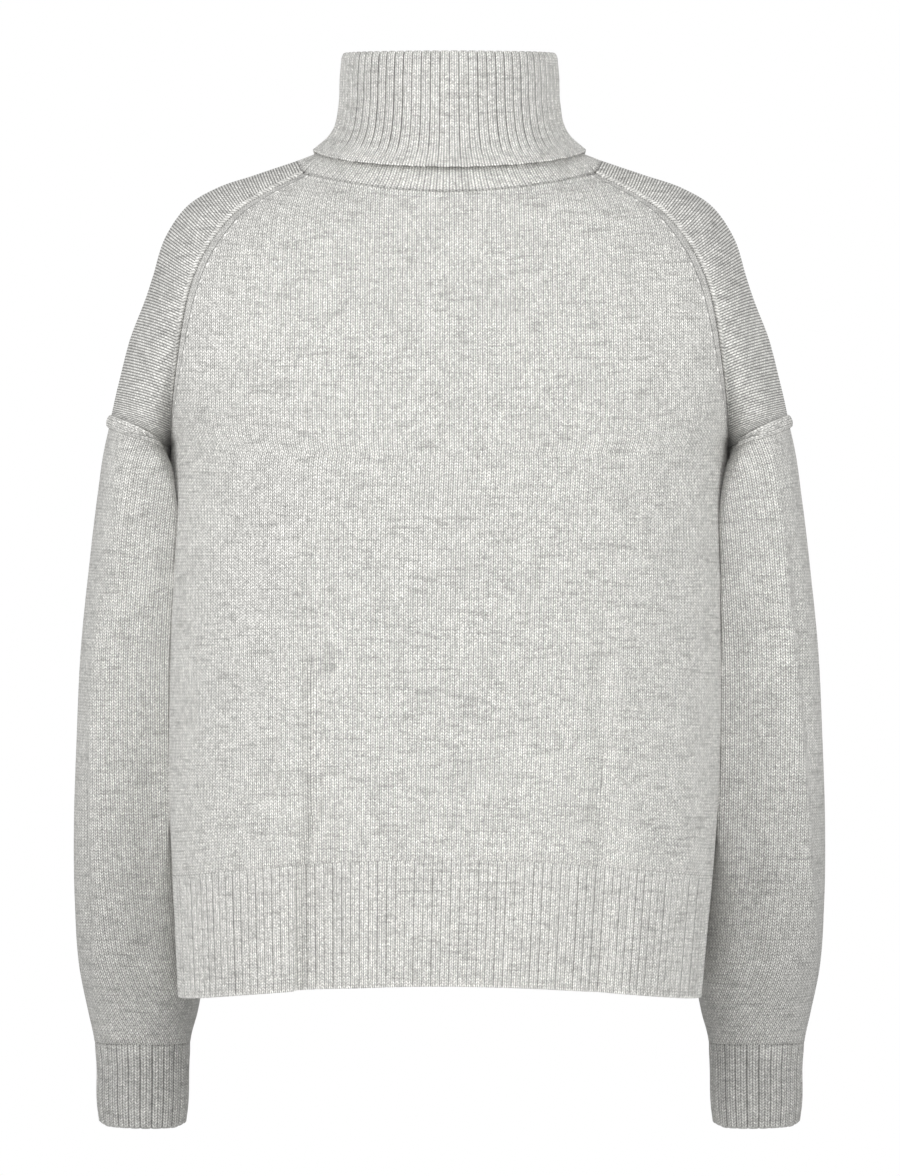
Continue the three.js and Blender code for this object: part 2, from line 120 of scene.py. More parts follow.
# The armhole seam from the underarm up to the neck. x, y and z lie on its back half, and the front half
# mirrors it about the depth middle, lower by drop.
ARMHOLE = table("x y z middle drop back_y back_z front_y front_z roundness", [
    (200.5, 2, -211, 2, 0, -118, -219, 130, -222, 0.5),
    (199.5, -27, -199, 4.5, 2, -117.5, -205, 130, -209, 0.52),
    (197.1, -46, -181.6, 6, 5, -116, -184, 128, -192, 0.56),
    (192.6, -60, -148.5, 6, 8, -112, -152, 124, -164, 0.6),
    (189, -62, -124, 6, 8, -109, -129, 119, -144, 0.64),
    (184.6, -61, -102.2, 5.5, 7, -105, -109, 113, -128, 0.68),
    (176.5, -56, -79.3, 5, 6, -99.5, -89, 106, -115, 0.7),
    (165.9, -50, -61.2, 4, 5, -94.5, -73, 100, -104, 0.72),
    (152.3, -43, -44.9, 3, 3.5, -89.5, -59, 94, -94, 0.72),
    (133.3, -35, -31.5, 2, 2.5, -85, -46, 88, -84, 0.73),
    (104.4, -24, -15.8, 1, 1.5, -80, -32.3, 82, -70, 0.75),
])

# The shoulder piece's arc at each row of the armhole: how it leaves the back seam, the top of the arc,
# and how far it runs level there towards the back and the front
SHOULDER = table("out_x out_y out_z top_x top_y top_z back_reach front_reach", [
    (6, -76, 4, 244.5, 12, -192, 76, 92),
    (8, -52, 5, 243, 11, -184, 68, 82),
    (12, -29, 6, 239.5, 10, -168, 59, 72),
    (14, -13, 7, 231, 9, -134, 49, 59),
    (14, -7, 7, 222.5, 8, -110, 42, 46),
    (14, -3, 7, 214, 6, -86, 38, 42),
    (13, 2, 8, 204, 5, -58, 34, 38),
    (11, 4, 9, 189, 4, -37, 30, 34),
    (8, 5, 9, 167.5, 3, -24, 26, 29),
    (4, 4, 7, 141, 2, -15, 20, 23),
    (2, 3, 5, 110, 1, -4.6, 13, 15),
])

# The sleeve's sections. inner and outer are its reach in X, back and front in Y, and the heights its tilt.
SLEEVE = table("inner outer back front inner_z outer_z", [
    (198.5, 249.5, -49, 82, -229, -214),
    (198, 254.5, -44, 91, -255, -246),
    (197, 261.5, -33, 102, -302, -298),
    (195, 268, -23, 110, -360, -358),
    (192, 271.5, -13, 116, -420, -420),
    (187, 274, -3, 121, -480, -480),
    (182, 274, 7, 126, -540, -540),
    (180, 271, 18, 127, -590, -590),
    (185, 264.5, 30, 118, -624, -623),
    (189.2, 260.8, 35.8, 108.6, -639.5, -639.2),
    (190, 260, 37, 107, -644.2, -643.8),
])
CUFF = table("inner outer back front inner_z outer_z", [
    (190.1, 259.9, 37.1, 106.9, -644.3, -643.9),
    (191, 258.4, 38.2, 105.6, -661, -660),
    (191.6, 258.2, 38.6, 105.4, -688, -687),
    (193.2, 256.6, 40, 104, -704.6, -703.4),
])

# How square each section is, where 2 is an oval
BODY_SQUARENESS = 2.6
YOKE_SQUARENESS = 2.2
SLEEVE_SQUARENESS = 2.3
CUFF_SQUARENESS = 2

# The sleeve's inner back corner, pressed on the body: squarer and further in between two heights, at each of
# which it grows from none to all of it
INNER_SQUARENESS = 6
INNER_REACH = 8
PRESSED_BELOW = (-200, -262)
PRESSED_ABOVE = (-540, -430)
SLEEVE_AIR = 0.2

# Collar sections: half width, depth behind and before the middle, and height at the side, back and front
STAND = table("half back front side_z back_z front_z", [
    (102, 77.9, 80.2, -1.6, -24, -56),
    (95, 75.2, 77.6, 1.3, -15, -41),
    (87, 71.6, 74.6, 7, -5, -23),
    (79.8, 67.3, 72, 18, 8, -4),
    (76.9, 64.5, 70.2, 36, 29, 21),
    (75.6, 62.4, 68.6, 56.5, 52, 49.5),
    (74.8, 61.6, 67.8, 68, 64.6, 65),
])
TURNOVER = table("half back front side_z back_z front_z", [
    (98, 83, 90, 3.6, -14, -45),
    (94.2, 81.2, 87, 7, -9.8, -36),
    (88.8, 78, 83, 11.6, -4, -24),
    (83.6, 73.6, 78, 19, 7, -7),
    (79.9, 69, 74.6, 36, 28, 20),
    (79, 66.2, 72.6, 56.5, 52, 49.5),
    (77.9, 64.8, 71, 69, 65.4, 66),
])
COLLAR_TOP = table("half back front side_z back_z front_z", [(76, 62.6, 69, 72.8, 69, 69.6)])
COLLAR_OVAL = (79, 68)
NECK_HALF = 110
NECK_BACK = 80
NECK_FRONT = 82
NECK_ROUND = 0.14

# The rolled seam below each shoulder piece. Its ends lie at this share of the way round from the underarm.
ROLL_END = 2.2 / 24
ROLL_HALF = 4.8
ROLL_CREST = 2.2
ROLL_AIR = 0.35

# Long soft folds that hang down the panels: place along X, ends in Z, width and depth inwards
BACK_FOLDS = table("x top foot width depth", [
    (-97, -235, -640, 17, 3.4),
    (-66, -330, -640, 26, -1.8),
    (107, -360, -640, 20, 2.2),
    (30, -440, -640, 30, -1.6),
])
FRONT_FOLDS = table("x top foot width depth", [
    (84, -250, -640, 20, 3),
    (-112, -330, -640, 22, 2.6),
    (-20, -420, -640, 30, -1.8),
])
FOLDS = {"back": BACK_FOLDS, "front": FRONT_FOLDS}

# Finer creases, each a line from start to end across X and Z with its width and its depth inwards.
# Where steep is given, the crease is steep times as wide on its side towards -X.
BACK_CREASES = table("x1 z1 x2 z2 width depth", [
    (-128, -330, -126, -620, 16, -1.4),
    (106, -300, 104, -620, 8, 1.7),
    (116, -330, 115, -620, 7, -0.8),
    (178, -215, 120, -300, 15, 0.8),
    (-180, -215, -128, -300, 15, 0.9),
    (60, -130, 20, -190, 22, -0.6),
    (-55, -95, -110, -150, 20, 0.5),
    (150, -330, 160, -520, 18, 0.7),
    (-165, -380, -158, -560, 16, 0.8),
])
FRONT_CREASES = table("x1 z1 x2 z2 width depth", [
    (90, -250, 84, -590, 11, 1.2),
    (-110, -320, -114, -590, 12, 1),
    (180, -220, 118, -310, 15, 0.9),
    (-178, -220, -124, -300, 15, 0.8),
    (-60, -110, 0, -180, 24, 0.7),
    (150, -360, 158, -540, 17, 0.8),
    (-162, -340, -156, -540, 18, 0.7),
])
BACK_PLEATS = table("x1 z1 x2 z2 width depth steep", [
    (-104, -250, -98, -360, 18, 4.5, 0.3),
    (-98, -360, -97, -450, 26, 7.5, 0.13),
    (-97, -450, -104, -530, 32, 9, 0.1),
    (-104, -530, -106, -640, 34, 10, 0.08),
    (107, -330, 104, -620, 8, 2.6, 0.5),
])
CREASES = {"back": (BACK_CREASES, BACK_PLEATS), "front": (FRONT_CREASES,)}

# Creases of the sleeves, each shaped as a right one, behind and in front
RIGHT_BACK_CREASES = table("x1 z1 x2 z2 width depth steep", [
    (228, -208, 238, -281, 3.2, -1.8, 3),
    (238, -281, 244, -340, 3.2, -2.6, 3.4),
    (244, -340, 252, -420, 3.2, -2.8, 3.6),
    (252, -420, 260, -510, 3, -3, 3.2),
    (260, -510, 266, -580, 3, -2.6, 2.6),
    (246, -285, 252, -350, 5, 3, 0.5),
    (252, -350, 260, -430, 5, 3.4, 0.5),
    (222, -215, 226, -250, 6, 1.4, 1),
    (226, -250, 230, -420, 10, 1.6, 1),
    (262, -300, 240, -340, 9, 0.8, 1),
    (240, -470, 262, -500, 8, 0.9, 1),
    (216, -500, 222, -620, 9, 1.6, 1),
    (240, -600, 236, -636, 7, 1.3, 1),
])
LEFT_BACK_CREASES = table("x1 z1 x2 z2 width depth steep", [
    (219, -205, 227, -280, 5, 1.8, 1),
    (227, -280, 234, -400, 8, 1.3, 1),
    (254, -340, 257, -400, 3, -1.8, 3),
    (257, -400, 257, -480, 3, -2.8, 3.4),
    (257, -480, 255, -558, 3, -3.2, 3.4),
    (255, -558, 258, -600, 3, -2.6, 2.6),
    (263, -440, 261, -590, 6, 5, 0.25),
    (262, -290, 238, -330, 9, 0.8, 1),
    (216, -430, 220, -600, 10, 1.5, 1),
    (232, -520, 250, -540, 8, 0.8, 1),
    (234, -600, 236, -638, 7, 1.3, 1),
])
FRONT_SLEEVE_CREASES = table("x1 z1 x2 z2 width depth", [
    (226, -215, 238, -330, 8, 1.5),
    (250, -370, 244, -520, 7, 2),
    (215, -330, 222, -520, 11, 1.5),
    (262, -420, 240, -450, 8, 1),
    (232, -560, 236, -640, 8, 1.2),
])
CREASE_SOFTNESS = 30


# Curves and surfaces

# The middle of an arm in X and Y, and how far below each point the way out is counted from
ARM_CORE = (235, 50)
CORE_DEPTH = 40

def smooth(rows, stations, places):
    """A cubic through rows of numbers, read at places between their stations"""
    rows = np.asarray(rows, float)
    slopes = np.gradient(rows, stations, axis=0)
    low = np.clip(np.searchsorted(stations, places, side="right") - 1, 0, len(stations) - 2)
    column = (-1,) + (1,) * (rows.ndim - 1)
    gap = (stations[low + 1] - stations[low]).reshape(column)
    t = (places - stations[low]).reshape(column) / gap
    leave = (1 + 2 * t) * (1 - t) ** 2 * rows[low] + t * (1 - t) ** 2 * gap * slopes[low]
    arrive = t ** 2 * (3 - 2 * t) * rows[low + 1] - t ** 2 * (1 - t) * gap * slopes[low + 1]
    return leave + arrive


def lengths(points):
    """How far along a line of points each one lies"""
    steps = np.linalg.norm(np.diff(points, axis=0), axis=-1)
    if steps.ndim > 1:
        steps = steps.mean(axis=1)
    return np.concatenate([[0], np.cumsum(steps)])


def spaced(line, shares):
    """Points at shares of a line's length"""
    along = lengths(line)
    return np.stack([np.interp(shares * along[-1], along, line[:, axis]) for axis in range(3)], -1)


def denser(rows, count):
    """Rows of points taken at count even places along a smooth surface through them"""
    stations = lengths(rows)
    return smooth(rows, stations, np.linspace(0, stations[-1], count))


def unit(vectors):
    return vectors / (np.linalg.norm(vectors, axis=-1, keepdims=True) + 1e-9)


def outward(points, core=(0, 0), closed=False):
    """The direction out of the cloth at each point of a grid round an upright core at a place in X and Y"""
    if closed:
        across = np.roll(points, -1, axis=1) - np.roll(points, 1, axis=1)
    else:
        across = np.gradient(points, axis=1)
    normals = unit(np.cross(across, np.gradient(points, axis=0)))
    away = points - (*core, 0)
    away[..., 2] = CORE_DEPTH
    return normals if np.sum(normals * away) > 0 else -normals


def softstep(value, low, high):
    t = np.clip((value - low) / (high - low), 0, 1)
    return t * t * (3 - 2 * t)


def span(value, start, end):
    """1 between two places, with soft steps over start and over end"""
    return softstep(value, *start) * (1 - softstep(value, *end))


def bell(distance, width):
    return np.exp(-(distance / width) ** 2)


def creased(points, creases):
    """How far inwards a table of creases presses each point, by its place in X and Z"""
    depth = np.zeros(points.shape[:-1])
    x, z = points[..., 0], points[..., 2]
    for x1, z1, x2, z2, width, deep, *steep in creases:
        run_x, run_z = x2 - x1, z2 - z1
        length = math.hypot(run_x, run_z)
        along = ((x - x1) * run_x + (z - z1) * run_z) / length
        aside = ((x - x1) * run_z - (z - z1) * run_x) / length
        ends = span(along, (-CREASE_SOFTNESS, CREASE_SOFTNESS),
                    (length - CREASE_SOFTNESS, length + CREASE_SOFTNESS))
        depth += deep * ends * bell(aside, np.where(aside > 0, width * math.prod(steep), width))
    return depth


# Meshes

class Shell:
    """Collects a closed wall of cloth and its maps, and makes the mesh"""

    def __init__(self, name):
        self.name = name
        self.points = []
        self.faces = []
        self.maps = {"stitch": [], "edge": []}

    def grid(self, points, closed=False):
        """Adds a grid of points and gives their numbers, with the first column again at the end if closed"""
        start = sum(len(part) for part in self.points)
        self.points.append(points.reshape(-1, 3))
        numbers = start + np.arange(len(self.points[-1])).reshape(points.shape[:2])
        return np.hstack([numbers, numbers[:, :1]]) if closed else numbers

    def quads(self, numbers, maps):
        def corners(values):
            around = [values[:-1, :-1], values[:-1, 1:], values[1:, 1:], values[1:, :-1]]
            return np.stack(around, axis=2).reshape((-1, 4) + values.shape[2:])
        self.faces.append(corners(numbers))
        for name, values in maps.items():
            self.maps[name].append(corners(values))

    def zip(self, runs):
        """Triangles between two runs of points, which may differ in number, each given with its maps"""
        (one, one_maps), (other, other_maps) = runs
        faces, places = [], []
        i = j = 0
        while i < len(one) - 1 or j < len(other) - 1:
            one_is_behind = (i + 1) * (len(other) - 1) <= (j + 1) * (len(one) - 1)
            if j == len(other) - 1 or (i < len(one) - 1 and one_is_behind):
                faces.append((one[i], one[i + 1], other[j]))
                places.append(((0, i), (0, i + 1), (1, j)))
                i += 1
            else:
                faces.append((one[i], other[j + 1], other[j]))
                places.append(((0, i), (1, j + 1), (1, j)))
                j += 1
        self.faces.append(np.array(faces))
        for name in self.maps:
            both = (one_maps[name], other_maps[name])
            self.maps[name].append(np.array([[both[side][k] for side, k in place] for place in places]))

    def piece(self, material):
        """The finished object, mirrored for the left side, with its faces turned out"""
        points = np.concatenate(self.points) * MM
        if self.name.startswith("left"):
            points = points * MIRRORED
        volume = 0
        for faces in self.faces:
            for k in range(1, faces.shape[1] - 1):
                a, b, c = points[faces[:, 0]], points[faces[:, k]], points[faces[:, k + 1]]
                volume += np.sum(a * np.cross(b, c))
        turn = slice(None, None, -1) if volume < 0 else slice(None)
        mesh = bpy.data.meshes.new(self.name)
        mesh.vertices.add(len(points))
        mesh.vertices.foreach_set("co", points.astype(np.float32).ravel())
        corners = np.concatenate([faces[:, turn].ravel() for faces in self.faces]).astype(np.int32)
        sizes = np.concatenate([np.full(len(faces), faces.shape[1]) for faces in self.faces])
        starts = np.concatenate([[0], np.cumsum(sizes)[:-1]]).astype(np.int32)
        mesh.loops.add(len(corners))
        mesh.loops.foreach_set("vertex_index", corners)
        mesh.polygons.add(len(sizes))
        mesh.polygons.foreach_set("loop_start", starts)
        for name, parts in self.maps.items():
            layer = mesh.uv_layers.new(name=name)
            flat = np.concatenate([part[:, turn].reshape(-1, 2) for part in parts])
            layer.data.foreach_set("uv", flat.astype(np.float32).ravel())
        mesh.update(calc_edges=True)
        mesh.shade_smooth()
        mesh.materials.append(material)
        made = bpy.data.objects.new(self.name, mesh)
        bpy.context.scene.collection.objects.link(made)
        return made


def cloth_maps(across, along, from_edge, up):
    """A grid's maps: its places in the stitches, and its distances from an edge and up that edge"""
    across, along, from_edge, up = np.broadcast_arrays(across, along, from_edge, up)
    return {"stitch": np.stack([across, along], -1), "edge": np.stack([from_edge, up], -1)}


def sheet_shell(name, outer, inner, maps, skip, material, rim_rows=0):
    """A wall with four edges: the outer grid and a plainer inner one, which leaves out points by skip.
    rim_rows of the outer grid go round its lower edge, and the inner one starts above them."""
    shell = Shell(name)
    out = shell.grid(outer)
    back = shell.grid(inner)
    kept = {key: thinned(values[rim_rows:], skip) for key, values in maps.items()}
    shell.quads(out, maps)
    shell.quads(back[::-1], {key: values[::-1] for key, values in kept.items()})
    whole = slice(None)
    for place, order in (((0, whole), -1), ((-1, whole), 1), ((whole, 0), 1), ((whole, -1), -1)):
        runs = [(numbers[place], {key: values[place] for key, values in grids.items()})
                for numbers, grids in ((out, maps), (back, kept))]
        shell.zip(runs[::order])
    return shell.piece(material)


def thinned(grid, skip):
    """Every skip-th row and column, with the last ones kept"""
    rows = sorted({*range(0, grid.shape[0], skip), grid.shape[0] - 1})
    columns = sorted({*range(0, grid.shape[1], skip), grid.shape[1] - 1})
    return grid[np.ix_(rows, columns)]


def ring_shell(name, loops, maps, material):
    """A wall closed round on itself: loops of points, the last joined to the first"""
    shell = Shell(name)
    numbers = shell.grid(loops, closed=True)
    shell.quads(np.vstack([numbers, numbers[:1]]),
                {key: np.concatenate([values, values[:1]]) for key, values in maps.items()})
    return shell.piece(material)


def rim(inside, outside, away):
    """Rows that go round a cut edge in a half circle, from its inside to its outside"""
    middle = (inside + outside) / 2
    radius = np.linalg.norm(outside - inside, axis=-1, keepdims=True) / 2
    turns = np.linspace(0, math.pi, 7)[1:-1]
    return np.stack([middle + (inside - middle) * math.cos(t) + away * radius * math.sin(t) for t in turns])


def drawn_back(rows):
    """The same grid with its four edges a little back from their seams"""
    rows = rows.copy()
    for edge, nearer in ((rows[0], rows[1]), (rows[-1], rows[-2]), (rows[:, 0], rows[:, 1]),
                         (rows[:, -1], rows[:, -2])):
        edge += unit(nearer - edge) * SEAM_GAP
    return rows


# Body

def panel_sections(face):
    """The panel's sections, the body's from the hem up and then the armhole's"""
    back = face == "back"
    seam = ARMHOLE["y"] if back else 2 * ARMHOLE["middle"] - ARMHOLE["y"]
    seam_z = ARMHOLE["z"] if back else ARMHOLE["z"] - ARMHOLE["drop"]
    yoke = np.linspace(BODY_SQUARENESS, YOKE_SQUARENESS, len(ARMHOLE))
    parts = {
        "half": (BODY["half"], ARMHOLE["x"]),
        "sway": (BODY["sway"], 0 * ARMHOLE["x"]),
        "seam_y": (BODY["seam_y"], seam),
        "seam_z": (BODY["seam_z"], seam_z),
        "middle_y": (-BODY["back"] if back else BODY["front"], ARMHOLE[face + "_y"]),
        "middle_z": (BODY[face + "_z"], ARMHOLE[face + "_z"]),
        "roundness": (np.full(BODY_ROWS, 0.5), ARMHOLE["roundness"]),
        "squareness": (np.full(BODY_ROWS, BODY_SQUARENESS), yoke),
    }
    return {name: np.concatenate(pair)[:, None] for name, pair in parts.items()}


def panel_points(face, shares):
    """The panel at its own sections, at shares of each one's length from the left seam to the right"""
    section = panel_sections(face)
    across = np.sin(np.linspace(-math.pi / 2, math.pi / 2, 1201))[None, :]
    rounded = np.clip(1 - np.abs(across) ** section["squareness"], 0, None) ** section["roundness"]
    x = section["half"] * across + section["sway"]
    y = section["seam_y"] + (section["middle_y"] - section["seam_y"]) * rounded
    z = section["seam_z"] + (section["middle_z"] - section["seam_z"]) * (1 - across ** 2)
    fine = np.stack(np.broadcast_arrays(x, y, z), -1)
    return np.stack([spaced(line, shares) for line in fine])


# Places up the side of the body: below 0 along the side seam, above it along the armhole
UNDERARM_Z = ARMHOLE["z"][0]
SIDE_STATIONS = np.append(BODY["seam_z"], UNDERARM_Z) - UNDERARM_Z
ARM_STATIONS = lengths(np.stack([ARMHOLE["x"], ARMHOLE["y"], ARMHOLE["z"]], -1))
BODY_ROWS = len(BODY)


def panel_surface(face, shares, places):
    """The panel at places up its side. Its seams turn sharply at the underarm, so close to them the parts
    below and above it are smoothed apart, and further in as one."""
    points = panel_points(face, shares)
    lower = smooth(points[:BODY_ROWS + 1], SIDE_STATIONS, places[places < 0])
    upper = smooth(points[BODY_ROWS:], ARM_STATIONS, places[places >= 0])
    apart = np.concatenate([lower, upper])
    whole = smooth(points, np.append(SIDE_STATIONS, ARM_STATIONS[1:]), places)
    inside = softstep(from_ends(shares), 0, 0.1)[None, :, None]
    surface = apart + (whole - apart) * inside
    surface[..., 1] += (levelled(surface[..., 1], places) - surface[..., 1]) * inside[..., 0]
    return hung_in_folds(face, surface, shares)


def levelled(values, places):
    """Values averaged up the side near the underarm, where the cloth hangs free of the seams"""
    near = span(places, (-150, -50), (60, 150))
    weights = bell(places[:, None] - places[None, :], 42) * np.gradient(places)[None, :]
    averages = weights @ values / weights.sum(axis=1, keepdims=True)
    return values + (averages - values) * near[:, None]


def hung_in_folds(face, surface, shares):
    """The panel with its folds, which fade out towards the seams"""
    inwards = 1 if face == "back" else -1
    x, z = surface[..., 0], surface[..., 2]
    depth = 0 * x
    for place, top, foot, width, deep in FOLDS[face]:
        depth += deep * softstep(top - z, 0, top - foot) * bell(x - place, width)
    for creases in CREASES[face]:
        depth += creased(surface, creases)
    surface[..., 1] += inwards * depth * softstep(from_ends(shares), 0, 0.09)
    return surface


def from_ends(shares):
    return np.minimum(shares, 1 - shares)


def edge_fractions(count, length):
    """Shares of a length with even steps, and finer ones next to both ends"""
    near = np.array([0, 0.6, 1.3, 2.1, 3, 4.2]) / length
    middle = np.linspace(near[-1], 1 - near[-1], count)
    return np.concatenate([near[:-1], middle, 1 - near[:-1][::-1]])


PANEL_WIDTH = 490
ARMHOLE_LENGTH = ARM_STATIONS[-1]
PANEL_FOOT = SIDE_STATIONS[HEM_TOP]
UPPER_PLACES = edge_fractions(ARMHOLE_ROWS, ARMHOLE_LENGTH) * ARMHOLE_LENGTH
LOWER_PLACES = PANEL_FOOT + np.array([0, 0.6, 1.4, 2.4, *np.linspace(4, -2.6 - PANEL_FOOT, SIDE_ROWS)])


def seam_relief(distance, thread=0):
    """A seam's soft groove, with a raised line of yarn beside it"""
    return thread * bell(distance - 2.4, 1.4) - 0.1 * bell(distance, 0.8)


def panel_grids():
    """The two panels' surfaces and their directions out, alike along the seams that they share"""
    places = np.concatenate([LOWER_PLACES, UPPER_PLACES])
    shares = edge_fractions(PANEL_COLUMNS, PANEL_WIDTH)
    surfaces = {face: panel_surface(face, shares, places) for face in ("back", "front")}
    normals = {face: outward(surfaces[face]) for face in surfaces}
    below = places < 0
    for side in (0, -1):
        shared = unit(normals["back"][below, side] + normals["front"][below, side])
        for face in normals:
            normals[face][below, side] = shared
    return surfaces, normals, shares, places


def panel_maps(surface, shares, places):
    """Wales and courses over the panel, and the distance from its side edges and up them"""
    across = np.array([lengths(row)[-1] for row in surface])
    gathered = np.where(places < 0, across[np.searchsorted(places, 0)] / across, 1)
    wale = (shares[None, :] - 0.5) * (across * gathered)[:, None]
    middle = surface[:, len(shares) // 2 - 20:len(shares) // 2 + 21]
    from_edge = from_ends(shares)[None, :] * across[:, None]
    return cloth_maps(wale, lengths(middle)[:, None], from_edge, places[:, None])


def panel_piece(face, material):
    surfaces, normals, shares, places = panel_grids()
    surface, normal = surfaces[face], normals[face]
    maps = panel_maps(surface, shares, places)
    from_edge = maps["edge"][..., 0]
    thread = ARMHOLE_THREAD * softstep(places, -10, 10)[:, None]
    relief = seam_relief(from_edge, thread) + NECK_THREAD * bell(places[-1] - places - 1.6, 1)[:, None]
    outer = drawn_back(surface) + normal * relief[..., None]
    inner = thinned(surface - normal * WALL, 5)
    return sheet_shell(face + "_of_body", outer, inner, maps, 5, material)


# Shoulders

def bezier(ends, t):
    a, b, c, d = (np.array(point, float)[None, :] for point in ends)
    t = t[:, None]
    return a * (1 - t) ** 3 + 3 * b * t * (1 - t) ** 2 + 3 * c * t ** 2 * (1 - t) + d * t ** 3


def shoulder_arc(index, t):
    """One arc over the shoulder. t runs from 0 at the back seam by 1 at the top to 2 at the front seam."""
    seam, arc = ARMHOLE[index], SHOULDER[index]
    back = np.array([seam["x"], seam["y"], seam["z"]])
    front = np.array([seam["x"], 2 * seam["middle"] - seam["y"], seam["z"] - seam["drop"]])
    top = np.array([arc["top_x"], arc["top_y"], arc["top_z"]])
    leave_back = back + (arc["out_x"], arc["out_y"], arc["out_z"])
    leave_front = front + (arc["out_x"], -arc["out_y"] * arc["front_reach"] / arc["back_reach"], arc["out_z"])
    rise = bezier((back, leave_back, top - (0, arc["back_reach"], 0), top), np.clip(t, 0, 1))
    fall = bezier((top, top + (0, arc["front_reach"], 0), leave_front, front), np.clip(t - 1, 0, 1))
    return np.where(t[:, None] < 1, rise, fall)


ARC_LENGTH = 250
SHOULDER_CREASES = table("x1 z1 x2 z2 width depth", [
    (216, -90, 219, -178, 9, 1.5),
    (196, -110, 204, -180, 8, -0.8),
    (160, -52, 205, -92, 12, 0.8),
    (230, -150, 226, -205, 8, 1),
])


def shoulder_surface():
    shares = edge_fractions(SHOULDER_COLUMNS, ARC_LENGTH)
    fine = np.linspace(0, 2, 801)
    arcs = np.stack([spaced(shoulder_arc(i, fine), shares) for i in range(len(ARMHOLE))])
    return smooth(arcs, ARM_STATIONS, UPPER_PLACES), shares


SIDES = {"right": 1, "left": -1}


def shoulder_piece(side, material):
    surface, shares = shoulder_surface()
    normals = outward(surface)
    across = np.array([lengths(row)[-1] for row in surface])
    along = (shares[None, :] - 0.5) * across[:, None]
    from_edge = from_ends(shares)[None, :] * across[:, None]
    ends = span(UPPER_PLACES, (4, 24), (ARMHOLE_LENGTH - 24, ARMHOLE_LENGTH - 4))
    inside_seams = softstep(from_edge, 4, 22) * ends[:, None]
    thread = 0.5 + 0.2 * np.sin(UPPER_PLACES * 1.5)[:, None]
    surface = surface - normals * (creased(surface, SHOULDER_CREASES) * inside_seams)[..., None]
    outer = drawn_back(surface) + normals * seam_relief(from_edge, thread)[..., None]
    inner = thinned(surface - normals * WALL, 4)
    maps = cloth_maps(along, lengths(surface)[:, None], from_edge, UPPER_PLACES[:, None])
    return sheet_shell(side + "_shoulder", outer, inner, maps, 4, material)


# Sleeves and cuffs

def body_reach(side, y, z):
    """How far the body reaches to one side at a depth and height, which the sleeve there keeps clear of"""
    row = {name: np.interp(z, BODY["seam_z"], BODY[name]) for name in BODY.dtype.names}
    depth = np.where(y < row["seam_y"], row["back"] + row["seam_y"], row["front"] - row["seam_y"])
    inward = np.clip(np.abs(y - row["seam_y"]) / depth, 0, 1)
    return row["half"] * (1 - inward ** 2) ** (1 / BODY_SQUARENESS) + SIDES[side] * row["sway"]


def arm_sections(rows, turns, squareness, side=None):
    """Closed sections of a sleeve or cuff, begun at the inner side and run round by the back. One beside the
    body is given its side, and is pressed flat where it would lie in the body."""
    angle = 2 * math.pi * turns[None, :]
    row = rows[:, None]
    if side:
        corner = softstep(np.cos(angle) * np.sin(angle), 0, 0.5) * (np.cos(angle) > 0)
        corner = corner * softstep(row["inner_z"], *PRESSED_ABOVE) * softstep(row["inner_z"], *PRESSED_BELOW)
        squareness = squareness + (INNER_SQUARENESS - squareness) * corner
    power = 2 / squareness
    inward = np.sign(np.cos(angle)) * np.abs(np.cos(angle)) ** power
    backward = np.sign(np.sin(angle)) * np.abs(np.sin(angle)) ** power
    z = row["outer_z"] + (row["inner_z"] - row["outer_z"]) * (1 + inward) / 2
    y = (row["back"] + row["front"]) / 2 - backward * (row["front"] - row["back"]) / 2
    x = (row["inner"] + row["outer"]) / 2 - inward * (row["outer"] - row["inner"]) / 2
    if side:
        x = np.maximum(x - INNER_REACH * corner, body_reach(side, y, z) + SLEEVE_AIR)
    return np.stack([x, y, z], -1)


TURNS = np.arange(SLEEVE_COLUMNS) / SLEEVE_COLUMNS


def sleeve_surface(side):
    """Either sleeve shaped as a right one, each to its own side of the body"""
    top = shoulder_arc(0, 2 * TURNS)
    sections = np.concatenate([top[None], arm_sections(SLEEVE, TURNS, SLEEVE_SQUARENESS, side)])
    return denser(sections, SLEEVE_ROWS)


def closed_maps(points):
    """Wales round a tube, measured from its outer side, and courses down it"""
    ring = np.concatenate([points, points[:, :1]], axis=1)
    steps = np.linalg.norm(np.diff(ring, axis=1), axis=-1)
    around = np.concatenate([np.zeros((len(points), 1)), np.cumsum(steps, axis=1)], axis=1)
    around = around - around[:, [points.shape[1] // 2]]
    down = lengths(points)[:, None]
    return cloth_maps(around, down, around, down)


def sleeve_piece(side, material):
    surface = sleeve_surface(side)
    normals = outward(surface, ARM_CORE, closed=True)
    backs = np.clip(-normals[..., 1] * 2.5, 0, 1)
    fronts = np.clip(normals[..., 1] * 2.5, 0, 1)
    back_creases = RIGHT_BACK_CREASES if side == "right" else LEFT_BACK_CREASES
    pressed = creased(surface, back_creases) * backs + creased(surface, FRONT_SLEEVE_CREASES) * fronts
    down = lengths(surface)
    ends = span(down, (2, 20), (down[-1] - 14, down[-1] - 1))
    outer = surface - normals * (pressed * ends[:, None])[..., None]
    inner = (outer - normals * WALL)[::-2]
    outer[0] += unit(outer[1] - outer[0]) * SEAM_GAP
    maps = {name: np.concatenate([grid, grid[::-2]]) for name, grid in closed_maps(surface).items()}
    loops = np.concatenate([outer, inner])
    return ring_shell(side + "_sleeve", loops, maps, material)


# Positions across one rib, close together at its groove
RIB_STEPS = np.array([0, 0.06, 0.13, 0.23, 0.38, 0.5, 0.62, 0.77, 0.87, 0.94])


def rib_shares(count):
    return (np.arange(count)[:, None] + RIB_STEPS[None, :]).ravel() / count


